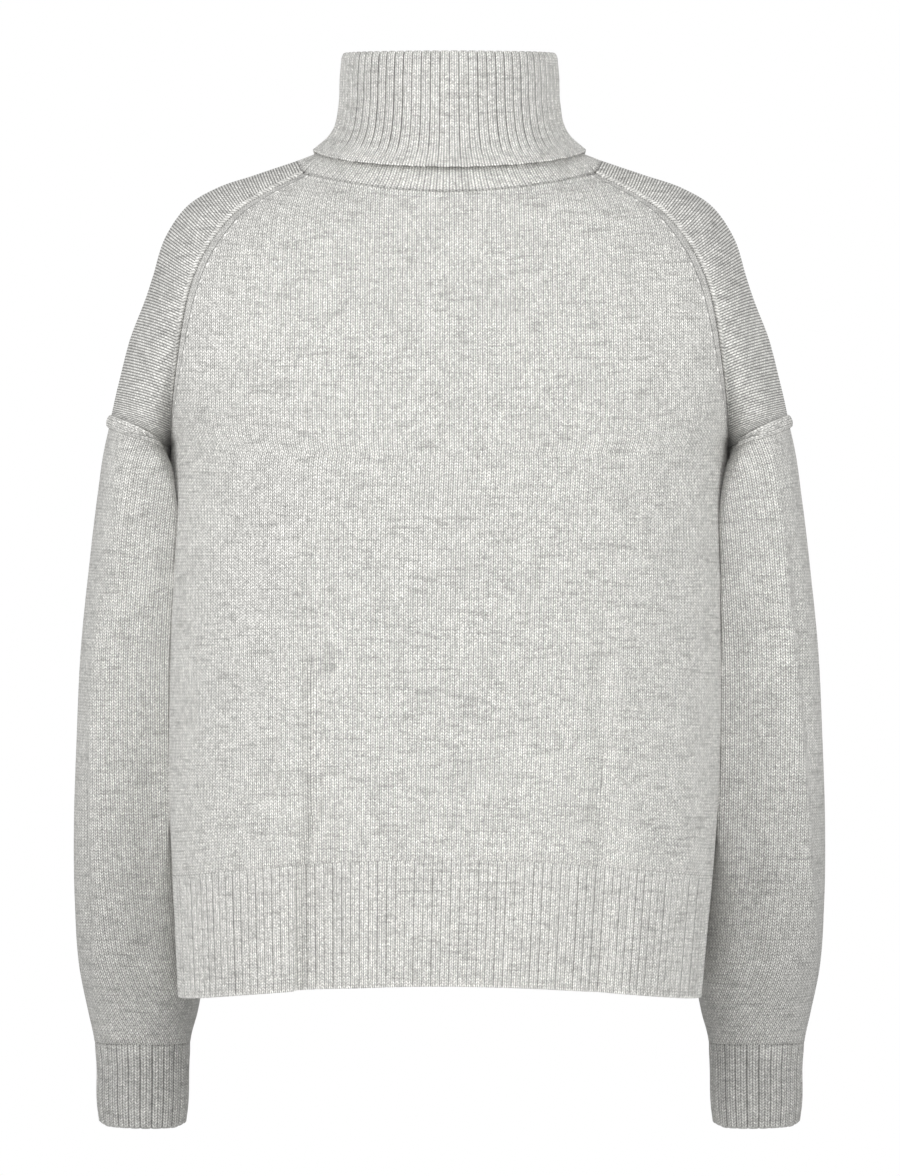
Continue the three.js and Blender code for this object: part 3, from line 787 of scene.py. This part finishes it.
def rib_height(shares, count, groove):
    """How far the cloth lies below the rib's crown at shares of the way round, by the groove's half width"""
    phase = (shares * count) % 1
    aside = np.minimum(phase, 1 - phase)
    return bell(aside, groove) + 0.22 * (1 - 2 * aside) ** 2


def unevenness(count, seed, spread):
    """A factor for each rib's depth, the same on both its halves"""
    draws = np.random.default_rng(seed).uniform(1 - spread, 1 + spread, count)
    return np.repeat(draws, len(RIB_STEPS))


def cuff_piece(side, material):
    shares = rib_shares(CUFF_RIBS)
    surface = denser(arm_sections(CUFF, shares, CUFF_SQUARENESS), CUFF_ROWS)
    down = lengths(surface)
    corner = softstep(np.abs(surface[..., 0] - 225) / 34, 0.7, 1)
    surface[..., 2] += 2.5 * corner * softstep(down, down[-1] - 12, down[-1])[:, None]
    normals = outward(surface, ARM_CORE, closed=True)
    depth = rib_height(shares, CUFF_RIBS, 0.1) * unevenness(CUFF_RIBS, 5, 0.5)
    relief = 0.4 * softstep(down, 0, 8)[:, None] - RIB_DEPTH * depth[None, :] * softstep(down, 0, 9)[:, None]
    outer = surface + normals * relief[..., None]
    inside = surface - normals * RIB_WALL
    edge = rim(outer[-1], inside[-1], unit(surface[-1] - surface[-2]))
    inner = inside[::-3]
    loops = np.concatenate([outer, edge, inner])
    rows = np.concatenate([down, np.full(len(edge), down[-1]), down[::-3]])
    maps = rib_maps(CUFF_RIBS, rows, down[-1] - rows)
    return ring_shell(side + "_cuff", loops, maps, material)


def rib_maps(count, rows, from_edge, closed=True):
    """Ribs counted across a band and the distance up it, and the distance from its free edge"""
    shares = rib_shares(count)
    if closed:
        shares = np.append(shares, 1)
    return cloth_maps(shares[None, :] * count, rows[:, None], from_edge[:, None], rows[:, None])


def roll_piece(side, material):
    """The rolled seam between shoulder and sleeve, open only at the underarm"""
    turns = np.linspace(ROLL_END, 1 - ROLL_END, ROLL_COLUMNS)
    seam = shoulder_arc(0, 2 * turns)
    above = seam + unit(shoulder_arc(1, 2 * turns) - seam) * ROLL_HALF
    below = seam + unit(arm_sections(SLEEVE[:1], turns, SLEEVE_SQUARENESS, side)[0] - seam) * ROLL_HALF
    spread = np.linspace(-1, 1, ROLL_ROWS)
    grid = np.stack([seam + (above - seam if s < 0 else below - seam) * abs(s) for s in spread])
    grid = drawn_soft(grid)
    normals = outward(grid, ARM_CORE)
    round_back = np.sqrt(np.clip(1 - spread ** 2, 0, 1))[:, None]
    ends = softstep(np.minimum(turns - turns[0], turns[-1] - turns), 0, 0.03)
    along = lengths(seam)
    crest = ROLL_CREST * (0.4 + 0.6 * ends) * (1 + 0.45 * lumps(len(spread), len(turns), 3, 0.37, 21))
    rise = ROLL_AIR + 0.2 + (crest - ROLL_AIR - 0.2) * round_back
    outer = grid + normals * rise[..., None]
    inner = thinned(grid + normals * ROLL_AIR, 3)
    across = spread[:, None] * ROLL_HALF
    maps = cloth_maps(across, along[None, :], across, along[None, :])
    return sheet_shell(side + "_rolled_seam", outer, inner, maps, 3, material)


def lumps(rows, columns, across, along, seed):
    """Soft uneven lumps from -1 to 1 over a grid: across of them over its rows, and along for each column"""
    count = int(columns * along)
    draws = np.random.default_rng(seed).uniform(-1, 1, (across, count))
    wide = smooth(draws.T, np.arange(count, dtype=float), np.linspace(0, count - 1, columns)).T
    return smooth(wide, np.arange(across, dtype=float), np.linspace(0, across - 1, rows))


def drawn_soft(grid):
    """Rows eased towards their neighbours, so that the seam's corner is round"""
    eased = grid.copy()
    eased[1:-1] = (grid[:-2] + 2 * grid[1:-1] + grid[2:]) / 4
    return eased


# Hem and collar

def hem_piece(face, material):
    shares = np.append(rib_shares(HEM_RIBS_A_HALF), 1)
    places = np.linspace(SIDE_STATIONS[0], PANEL_FOOT, HEM_ROWS)
    points = panel_surface(face, shares, places)
    normals = outward(points)
    up = lengths(points)
    from_side = from_ends(shares) * PANEL_WIDTH
    depth = rib_height(shares, HEM_RIBS_A_HALF, 0.17) * np.append(unevenness(HEM_RIBS_A_HALF, 11, 0.4), 1)
    depth *= softstep(from_side, 3, 9)
    height = HEM_RIB_DEPTH * softstep(up[-1] - up, 0, 7) * (0.5 + 0.5 * softstep(up, 0, 5))
    relief = seam_relief(from_side)[None, :] - depth[None, :] * height[:, None]
    outer = drawn_back(points) + normals * relief[..., None]
    inside = points - normals * RIB_WALL
    edge = rim(inside[0], outer[0], unit(points[0] - points[1]))
    rows = np.concatenate([np.zeros(len(edge)), up])
    maps = rib_maps(HEM_RIBS_A_HALF, rows, rows, closed=False)
    maps = {name: np.concatenate([grid, grid[:, -1:] + (1 - RIB_STEPS[-1], 0)], axis=1)
            for name, grid in maps.items()}
    return sheet_shell(face + "_hem", np.concatenate([edge, outer]), thinned(inside, 5), maps, 5, material,
                       rim_rows=len(edge))


def neck_sections(rows, angles):
    """Sections round the neck, at angles counted from the wearer's right"""
    row = rows[:, None]
    sine = np.sin(angles)[None, :]
    behind = sine < 0
    x = row["half"] * np.cos(angles)[None, :]
    y = np.where(behind, row["back"], row["front"]) * sine
    end = np.where(behind, row["back_z"], row["front_z"])
    dip = (np.sqrt(sine ** 2 + NECK_ROUND ** 2) - NECK_ROUND) / (math.hypot(1, NECK_ROUND) - NECK_ROUND)
    z = row["side_z"] + (end - row["side_z"]) * dip
    return np.stack([x, y, z], -1)


def even_angles(shares):
    """Angles round the neck that part it into equal lengths"""
    half, depth = COLLAR_OVAL
    angle = np.linspace(0, 2 * math.pi, 4001)
    along = lengths(np.stack([half * np.cos(angle), depth * np.sin(angle)], -1))
    return np.interp(shares * along[-1], along, angle)


def neck_line(angles):
    """The line that the collar is sewn to, at angles round the neck"""
    shares = np.linspace(0, 1, 121)
    over = shoulder_arc(-1, 2 * shares)
    runs = [over, over * MIRRORED] + [panel_points(face, shares)[-1] for face in ("back", "front")]
    line = np.concatenate(runs)
    depth = np.where(line[:, 1] < 0, NECK_BACK, NECK_FRONT)
    turn = np.arctan2(line[:, 1] / depth, line[:, 0] / NECK_HALF) % (2 * math.pi)
    order = np.argsort(turn)
    return np.stack([np.interp(angles, turn[order], line[order, axis], period=2 * math.pi)
                     for axis in range(3)], -1)


def collar_piece(material):
    shares = rib_shares(COLLAR_RIBS)
    angles = even_angles(shares)
    depth = RIB_DEPTH * rib_height(shares, COLLAR_RIBS, 0.09) * unevenness(COLLAR_RIBS, 3, 0.2)

    # The stand from the neck seam up, seen below the turned-down part
    lifted = neck_sections(STAND, angles)
    seam = neck_line(angles)
    foot = seam + unit(lifted[0] - seam) * NECK_GAP
    stand = denser(np.concatenate([foot[None], lifted]), STAND_ROWS)
    stand_out = outward(stand, closed=True)
    stand_up = lengths(stand)
    faint = 0.3 * depth[None, :] * (1 - softstep(stand_up, 40, 55))[:, None]
    stand_shown = stand - stand_out * faint[..., None]
    stand_inside = (stand - stand_out * RIB_WALL)[::-2]

    # The turned-down part from its free edge up, and over the top
    turnover = denser(neck_sections(TURNOVER, angles), TURNOVER_ROWS)
    knobs = lumps(2, len(shares), 2, 0.35, 31)[0] * softstep(from_ends(shares), 0, 0.01)
    turnover[..., 2] += 0.45 * knobs[None, :] * (1 - softstep(lengths(turnover), 0, 3.5))[:, None]
    crest_rows = np.concatenate([turnover[-2:], neck_sections(COLLAR_TOP, angles), stand_inside[:2]])
    crest_along = lengths(crest_rows)
    crest = smooth(crest_rows, crest_along, np.linspace(crest_along[1], crest_along[3], 10)[1:-1])
    face = np.concatenate([turnover, crest, stand_inside])
    face_out = outward(face, closed=True)
    face_up = lengths(face)
    crown = len(turnover) + len(crest)
    over_top = softstep(np.arange(len(face)), crown - 4, crown + 2)
    grooves = (0.12 + 0.88 * softstep(face_up, 5, 24)) * (1 - over_top)
    shown = face - face_out * (depth[None, :] * grooves[:, None])[..., None]
    lining = (turnover - outward(turnover, closed=True) * WALL)[::-2]
    edge = rim(lining[-1], shown[0], unit(turnover[0] - turnover[1]))

    loops = np.concatenate([stand_shown, lining, edge, shown])
    hidden = len(lining) + len(edge)
    rows = np.concatenate([stand_up, np.zeros(hidden), face_up])
    from_edge = np.concatenate([0 * stand_up + 11, np.zeros(hidden), face_up])
    return ring_shell("turned_down_collar", loops, rib_maps(COLLAR_RIBS, rows, from_edge), material)


# Materials

class Wire:
    """A value in a material's nodes, whose arithmetic adds Math nodes"""

    def __init__(self, finish, socket):
        self.finish = finish
        self.socket = socket

    def math(self, operation, *others):
        return self.finish.node("ShaderNodeMath", {"operation": operation}, dict(enumerate((self, *others))))

    def __add__(self, other):
        return self.math("ADD", other)

    def __mul__(self, other):
        return self.math("MULTIPLY", other)

    def __sub__(self, other):
        return self.math("SUBTRACT", other)

    def __rsub__(self, other):
        return self.finish.node("ShaderNodeMath", {"operation": "SUBTRACT"}, {0: other, 1: self})

    def __truediv__(self, other):
        return self.math("DIVIDE", other)

    def __pow__(self, other):
        return self.math("POWER", other)

    __radd__ = __add__
    __rmul__ = __mul__

    def fraction(self):
        return self.math("FRACT")

    def whole(self):
        return self.math("FLOOR")

    def off_middle(self):
        """How far the value is from the middle between two whole numbers, 0 to 0.5"""
        return (self.fraction() - 0.5).math("ABSOLUTE")

    def between(self, low, high):
        """0 below low, 1 above high and a soft step between"""
        return self.finish.node("ShaderNodeMapRange", {"interpolation_type": "SMOOTHSTEP"},
                                {"Value": self, "From Min": low, "From Max": high})

    def near(self, place, full, none):
        """1 within full of a place, 0 past none from it and a soft step between"""
        return 1 - (self - place).math("ABSOLUTE").between(full, none)


class Finish:
    """The nodes of a material or of the world, and the one way in which they are made"""

    def __init__(self, owner):
        owner.use_nodes = True
        self.owner = owner
        self.tree = owner.node_tree
        self.tree.nodes.clear()

    def node(self, kind, settings=None, sockets=None, output=0):
        made = self.tree.nodes.new(kind)
        for name, value in (settings or {}).items():
            setattr(made, name, value)
        for name, value in (sockets or {}).items():
            if isinstance(value, Wire):
                self.tree.links.new(value.socket, made.inputs[name])
            else:
                made.inputs[name].default_value = value
        return Wire(self, made.outputs[output]) if made.outputs else made

    def map(self, name):
        """The two numbers of one of the cloth's own maps"""
        place = self.node("ShaderNodeUVMap", {"uv_map": name})
        return (self.node("ShaderNodeSeparateXYZ", sockets={"Vector": place}),
                self.node("ShaderNodeSeparateXYZ", sockets={"Vector": place}, output=1))

    def noise(self, size, detail=2, stretch=(1, 1, 1)):
        """Noise in the cloth's own place, its blotches about size millimetres wide"""
        place = self.node("ShaderNodeTexCoord", output=3)
        placed = self.node("ShaderNodeMapping", {"vector_type": "POINT"}, {"Vector": place, "Scale": stretch})
        sockets = {"Vector": placed, "Scale": 1 / (size * MM), "Detail": detail}
        return self.node("ShaderNodeTexNoise", sockets=sockets)

    def scatter(self, across, along):
        """A number from 0 to 1, another one for each whole pair of numbers"""
        pair = self.node("ShaderNodeCombineXYZ", sockets={"X": across.whole(), "Y": along.whole()})
        return self.node("ShaderNodeTexWhiteNoise", {"noise_dimensions": "2D"}, {"Vector": pair})

    def surface(self, colour, shade, **sockets):
        """Ends the material with a shader whose colour is made paler or darker by shade"""
        base = self.node("ShaderNodeVectorMath", {"operation": "SCALE"}, {"Vector": colour, "Scale": shade})
        named = {name.replace("_", " "): value for name, value in sockets.items()}
        shader = self.node("ShaderNodeBsdfPrincipled", sockets={"Base Color": base, **named})
        self.node("ShaderNodeOutputMaterial", sockets={"Surface": shader})
        return self.owner


def new_finish(name):
    return Finish(bpy.data.materials.new(name))


def plain_stitch(wale, course, lean=LEAN):
    """Columns of nested V stitches. Gives how deep the gap between the yarns is, 0 to 1, and the leg and the
    row that a place lies on."""
    aside = wale.off_middle()
    row = course + aside * lean
    between_rows = (row.off_middle() * 2) ** 2.2
    between_wales = aside.between(0.32, 0.5)
    fold = 1 - aside.between(0, 0.16)
    yarn = (1 - between_rows * 0.72) * (1 - between_wales * 0.72) * (1 - fold * 0.55)
    return 1 - yarn, (wale * 2, row)


def purl_stitch(wale, course):
    """Rows of short level dashes, each row set off from the next by half a stitch"""
    shifted = wale + course.whole() * 0.5
    between_rows = (course.off_middle() * 2) ** 1.8
    between_dashes = (shifted.off_middle() * 2) ** 3
    return 1 - (1 - between_rows * 0.95) * (1 - between_dashes * 0.4), (shifted, course)


def wool(finish, knit, stitch, painted_gap_shade, tone=1.0, extra=1.0, extra_height=0.0, depth=0.5):
    """The heather yarn: paler and darker fibres by stitch and in soft streaks, and darker in the gaps between
    the yarns by painted shade, of the given depth"""
    gap, pair = stitch
    streaks = finish.noise(4, 3, (0.22, 0.22, 1.5))
    fibres = finish.noise(0.8, 2, (0.8, 0.8, 1.2))
    by_leg = finish.scatter(*pair)
    # Painted shade: the colour darkens in the gaps between the yarns
    shade = 1.42 - gap * painted_gap_shade
    for pattern, strength in ((finish.noise(22), 0.2), (streaks, 0.35), (by_leg, 0.32), (fibres, 1.5)):
        shade = shade * (1 + knit.heather * (pattern - 0.5) * strength)
    shade = shade * (1 - knit.heather * streaks.between(0.52, 0.66) * 0.24) * extra
    height = fibres * 0.6 + by_leg * 0.3 - gap + extra_height
    bump = finish.node("ShaderNodeBump", sockets={"Strength": 1, "Distance": depth * MM, "Height": height})
    return finish.surface(tuple(channel * tone for channel in knit.yarn), shade, Roughness=0.92,
                          Specular_IOR_Level=0.2, Sheen_Weight=knit.sheen, Sheen_Roughness=0.5, Normal=bump)


def body_material(knit):
    """Plain knit, with a band of wales beside the side seams and fashioning marks up the armholes"""
    finish = new_finish("body knit")
    across, up = finish.map("stitch")
    from_edge, up_seam = finish.map("edge")
    band = 1 - from_edge.between(SIDE_BAND, SIDE_BAND + 0.6)
    wale = (across / (knit.wale / MM)) * (1 - band) + (from_edge / SIDE_WALE) * band
    course = (up * (1 - band) + up_seam * band) / (knit.course / MM)
    gap, pair = plain_stitch(wale, course)
    along = 1 - (up_seam / MARK_SPACING).off_middle().between(0.06, 0.18)
    mark = from_edge.near(MARK_ASIDE, 0.4, 1.9) * along * up_seam.between(0, 4)
    # Painted highlight along the raised fashioning marks, and painted shade in the groove at the side band's
    # inner edge
    groove = from_edge.near(SIDE_BAND + 0.3, 0.2, 1.2)
    return wool(finish, knit, (gap * (1 - mark * 0.6), pair), 1.18, extra=1 - groove * 0.16 + mark * 0.36,
                extra_height=mark * 2.2 - groove * 0.5)


def sleeve_material(knit):
    """Plain knit with painted shade: a darker tone than the body's, and darker still towards the cuff"""
    finish = new_finish("sleeve knit")
    across, down = finish.map("stitch")
    stitch = plain_stitch(across / (knit.wale / MM), down / SLEEVE_COURSE)
    # The lower tone and the darkening towards the cuff are painted shade
    return wool(finish, knit, stitch, 1.22, tone=0.96, extra=1 - down.between(180, 440) * 0.22)


def shoulder_material(knit):
    """The knit's back side, in fine ridges, with a chain of yarn along the armhole seam"""
    finish = new_finish("shoulder knit")
    along, row = finish.map("stitch")
    from_edge, _ = finish.map("edge")
    wale, course = SHOULDER_STITCH
    gap, pair = purl_stitch(along / wale, row / course)
    thread = from_edge.near(2.2, 0.8, 2)
    links = ((row / 2.6 + from_edge * 0.3).off_middle() * 2) ** 2
    return wool(finish, knit, (gap * (1 - thread) + links * thread * 0.7, pair), 1.24, tone=0.88)


def rib_material(knit, name, groove_width, groove_painted_shade, fade=(0, 1), tone=1.0, painted_shade_eased_at_top=0.0):
    """Two wales of plain knit on each rib, and painted shade in the groove between ribs that may fade out at
    a free edge.
    Past 46 mm from that edge the band may turn paler, which eases a painted shade of a dark tone towards the
    paler cloth that it joins."""
    finish = new_finish(name)
    ribs, up = finish.map("stitch")
    from_edge, _ = finish.map("edge")
    by_groove = finish.scatter(ribs + 0.5, up * 0.005)
    groove = ribs.off_middle().between(0.5 - groove_width, 0.5)
    groove = groove * from_edge.between(*fade) * (0.7 + 0.6 * by_groove)
    # Painted shade: darker in the grooves between ribs, and lifted again past 46 mm from the free edge
    extra = (1 - groove * groove_painted_shade) * (1 + from_edge.between(46, 62) * painted_shade_eased_at_top)
    return wool(finish, knit, plain_stitch(ribs * 2, up / (knit.course / MM)), 1.12, tone=tone, extra=extra,
                extra_height=groove * -0.6)


def seam_material(knit):
    """A fuzzy chain of yarn over the rolled seam"""
    finish = new_finish("seam yarn")
    across, along = finish.map("stitch")
    wale, course = ROLL_STITCH
    knots = finish.noise(2.4)
    return wool(finish, knit, plain_stitch(across / wale + 0.5, along / course, ROLL_LEAN), 0.85, tone=0.98,
                extra=0.75 + knots * 0.45, extra_height=knots * 1.5, depth=0.8)


# Studio

def stage_material(colour):
    """Pale paper with a faint grain"""
    finish = new_finish("pale paper")
    return finish.surface(colour, 0.99 + finish.noise(40) * 0.02, Roughness=0.9)


# Each light's place and width, in metres
LIGHTS = {
    "key": ((-0.4, -2.8, 1.3), 1.3),
    "fill": ((0.1, -3.4, -0.3), 1.0),
    "left": ((-2.4, -2.0, 0.45), 1.3),
    "right": ((2.4, -2.0, 0.45), 1.3),
    "front": ((0.4, 3.0, 0.9), 2.0),
}
HALF_PIXEL = 0.00036
FLOOR_RADIUS = 1.3
FLOOR_THICKNESS = 0.04


def area_light(name, place, size, aim, power):
    """A round soft light that the camera doesn't see"""
    data = bpy.data.lights.new(name, "AREA")
    data.shape = "DISK"
    data.size = size
    data.energy = power
    lamp = bpy.data.objects.new(name, data)
    lamp.location = place
    lamp.rotation_euler = (Vector(aim) - Vector(place)).to_track_quat("-Z", "Y").to_euler()
    lamp.visible_camera = False
    bpy.context.scene.collection.objects.link(lamp)


def studio_world(ambient):
    """White behind the sweater, and a dimmer even light from all round"""
    finish = Finish(bpy.data.worlds.new("studio air"))
    white = (1, 1, 1, 1)
    seen = finish.node("ShaderNodeBackground", sockets={"Color": white})
    lit = finish.node("ShaderNodeBackground", sockets={"Color": white, "Strength": ambient})
    from_camera = finish.node("ShaderNodeLightPath")
    mix = finish.node("ShaderNodeMixShader", sockets={0: from_camera, 1: lit, 2: seen})
    finish.node("ShaderNodeOutputWorld", sockets={"Surface": mix})
    bpy.context.scene.world = finish.owner


# Settings

class SweaterKnit(bpy.types.PropertyGroup):
    """The yarn and the gauge of the knit"""

    yarn: bpy.props.FloatVectorProperty(
        name="Yarn", description="Colour of the heather yarn", subtype="COLOR", size=3,
        default=(0.674, 0.668, 0.642), min=0, max=1)
    heather: bpy.props.FloatProperty(
        name="Heather", description="How much paler and darker fibres differ", default=1.0, min=0, max=2,
        subtype="FACTOR")
    sheen: bpy.props.FloatProperty(
        name="Sheen", description="Soft shine of the nap", default=0.12, min=0, max=1, subtype="FACTOR")
    wale: bpy.props.FloatProperty(
        name="Wale", description="Width of one column of stitches", default=3.3 * MM, min=0.5 * MM,
        max=20 * MM, precision=4, subtype="DISTANCE", unit="LENGTH")
    course: bpy.props.FloatProperty(
        name="Course", description="Height of one row of stitches", default=2.1 * MM, min=0.5 * MM,
        max=20 * MM, precision=4, subtype="DISTANCE", unit="LENGTH")


class SweaterStudio(bpy.types.PropertyGroup):
    """The camera, the light and the floor"""

    distance: bpy.props.FloatProperty(
        name="Camera distance", description="From the camera to the middle of the sweater", default=4.0,
        min=1, subtype="DISTANCE", unit="LENGTH")
    eye_height: bpy.props.FloatProperty(
        name="Eye height", description="Height of the camera over the neck", default=-0.312,
        subtype="DISTANCE", unit="LENGTH")
    picture_height: bpy.props.FloatProperty(
        name="Picture height", description="What the picture takes in from top to bottom", default=0.84672,
        min=0.1, subtype="DISTANCE", unit="LENGTH")
    key: bpy.props.FloatProperty(
        name="Key light", description="Power of the soft light above the camera", default=13, min=0,
        subtype="POWER", unit="POWER")
    fill: bpy.props.FloatProperty(
        name="Fill light", description="Power of the soft light beside the camera", default=18, min=0,
        subtype="POWER", unit="POWER")
    left: bpy.props.FloatProperty(
        name="Left light", description="Power of the soft light at the left", default=44, min=0,
        subtype="POWER", unit="POWER")
    right: bpy.props.FloatProperty(
        name="Right light", description="Power of the soft light at the right", default=37, min=0,
        subtype="POWER", unit="POWER")
    front: bpy.props.FloatProperty(
        name="Front light", description="Power of the light on the side that the camera doesn't see",
        default=52, min=0, subtype="POWER", unit="POWER")
    air: bpy.props.FloatProperty(
        name="Even light", description="Light that comes from all round", default=0.46, min=0, max=2)
    floor_colour: bpy.props.FloatVectorProperty(
        name="Floor", description="Colour of the floor", subtype="COLOR", size=3, default=(0.82, 0.82, 0.81),
        min=0, max=1)
    floor_height: bpy.props.FloatProperty(
        name="Floor height", description="Height of the floor, under the neck", default=-1.35,
        subtype="DISTANCE", unit="LENGTH")


# Operators

def dress(piece, node):
    """Ties a piece to the frame: it rides on the body and stands for its node, which is hidden"""
    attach(piece, "root")
    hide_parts(node)
    return piece


class SWEATER_OT_body(bpy.types.Operator):
    """Knit the back and the front"""

    bl_idname = "sweater.body"
    bl_label = "Back and front"

    def execute(self, context):
        material = body_material(context.scene.sweater_knit)
        for face, area in (("back", 0.233), ("front", 0.23)):
            piece = dress(panel_piece(face, material), face + "_panel")
        return {"FINISHED"}


class SWEATER_OT_shoulders(bpy.types.Operator):
    """Knit the two pieces that go over the shoulders"""

    bl_idname = "sweater.shoulders"
    bl_label = "Shoulders"

    def execute(self, context):
        material = shoulder_material(context.scene.sweater_knit)
        for side in ("right", "left"):
            piece = dress(shoulder_piece(side, material), "shoulder_" + side)
        return {"FINISHED"}


class SWEATER_OT_sleeves(bpy.types.Operator):
    """Knit the sleeves and roll the seams above them"""

    bl_idname = "sweater.sleeves"
    bl_label = "Sleeves and rolled seams"

    def execute(self, context):
        knit = context.scene.sweater_knit
        material = sleeve_material(knit)
        yarn = seam_material(knit)
        for side in ("right", "left"):
            roll = dress(roll_piece(side, yarn), "drop_seam_" + side)
            piece = dress(sleeve_piece(side, material), "sleeve_" + side)
        return {"FINISHED"}


class SWEATER_OT_cuffs(bpy.types.Operator):
    """Knit the ribbed cuffs"""

    bl_idname = "sweater.cuffs"
    bl_label = "Cuffs"

    def execute(self, context):
        # The cuff's dark tone is painted shade, eased off at its top towards the sleeve
        material = rib_material(context.scene.sweater_knit, "cuff rib", 0.14, 0.22, tone=0.64, painted_shade_eased_at_top=0.14)
        for side in ("right", "left"):
            piece = dress(cuff_piece(side, material), "cuff_" + side)
        return {"FINISHED"}


class SWEATER_OT_hem(bpy.types.Operator):
    """Knit the ribbed hem, back and front"""

    bl_idname = "sweater.hem"
    bl_label = "Hem"

    def execute(self, context):
        material = rib_material(context.scene.sweater_knit, "hem rib", 0.18, 0.14)
        for face in ("back", "front"):
            piece = dress(hem_piece(face, material), "hem_rib_" + face)
        return {"FINISHED"}


class SWEATER_OT_collar(bpy.types.Operator):
    """Knit the collar and turn it down over its stand"""

    bl_idname = "sweater.collar"
    bl_label = "Collar"

    def execute(self, context):
        material = rib_material(context.scene.sweater_knit, "collar rib", 0.12, 0.3, fade=(6, 24), tone=0.98)
        piece = dress(collar_piece(material), "collar")
        return {"FINISHED"}


class SWEATER_OT_stage(bpy.types.Operator):
    """Set up the camera, the lights and the floor"""

    bl_idname = "sweater.stage"
    bl_label = "Studio"

    def execute(self, context):
        scene = context.scene
        studio = scene.sweater_studio
        scene.view_settings.view_transform = "Standard"
        data = bpy.data.cameras.new("eye")
        data.sensor_width = 36
        data.lens = data.sensor_width * studio.distance / studio.picture_height
        camera = bpy.data.objects.new("eye", data)
        camera.location = (HALF_PIXEL, -studio.distance, studio.eye_height)
        camera.rotation_euler = (math.pi / 2, 0, 0)
        scene.collection.objects.link(camera)
        scene.camera = camera
        middle = (0, 0, studio.eye_height)
        for name, (place, size) in LIGHTS.items():
            area_light(name + " light", place, size, middle, getattr(studio, name))
        studio_world(studio.air)
        bpy.ops.object.select_all(action="DESELECT")
        bpy.ops.mesh.primitive_cylinder_add(vertices=128, radius=FLOOR_RADIUS, depth=FLOOR_THICKNESS,
                                            location=(0, 0, studio.floor_height - FLOOR_THICKNESS / 2))
        floor = context.active_object
        floor.name = "floor"
        floor.data.materials.append(stage_material(tuple(studio.floor_colour)))
        bpy.ops.object.transform_apply(location=True, rotation=False, scale=False)
        return {"FINISHED"}


class SWEATER_PT_panel(bpy.types.Panel):
    """The sweater's pieces and the studio"""

    bl_idname = "SWEATER_PT_panel"
    bl_label = "Sweater"
    bl_space_type = "VIEW_3D"
    bl_region_type = "UI"
    bl_category = "Sweater"

    def draw(self, context):
        scene = context.scene
        for settings in (scene.sweater_knit, scene.sweater_studio):
            box = self.layout.box()
            for name in settings.__annotations__:
                box.prop(settings, name)
        for operator in OPERATORS:
            self.layout.operator(operator.bl_idname)


SETTINGS = {"sweater_knit": SweaterKnit, "sweater_studio": SweaterStudio}
OPERATORS = (SWEATER_OT_body, SWEATER_OT_shoulders, SWEATER_OT_sleeves, SWEATER_OT_cuffs, SWEATER_OT_hem,
             SWEATER_OT_collar, SWEATER_OT_stage)
CLASSES = (*SETTINGS.values(), *OPERATORS, SWEATER_PT_panel)


def register():
    for cls in CLASSES:
        bpy.utils.register_class(cls)
    for name, cls in SETTINGS.items():
        setattr(bpy.types.Scene, name, bpy.props.PointerProperty(type=cls))


def unregister():
    for name in SETTINGS:
        delattr(bpy.types.Scene, name)
    for cls in reversed(CLASSES):
        bpy.utils.unregister_class(cls)


def main():
    register()
    bpy.ops.sweater.body()
    bpy.ops.sweater.shoulders()
    bpy.ops.sweater.sleeves()
    bpy.ops.sweater.cuffs()
    bpy.ops.sweater.hem()
    bpy.ops.sweater.collar()
    bpy.ops.sweater.stage()


if __name__ == "__main__":
    main()
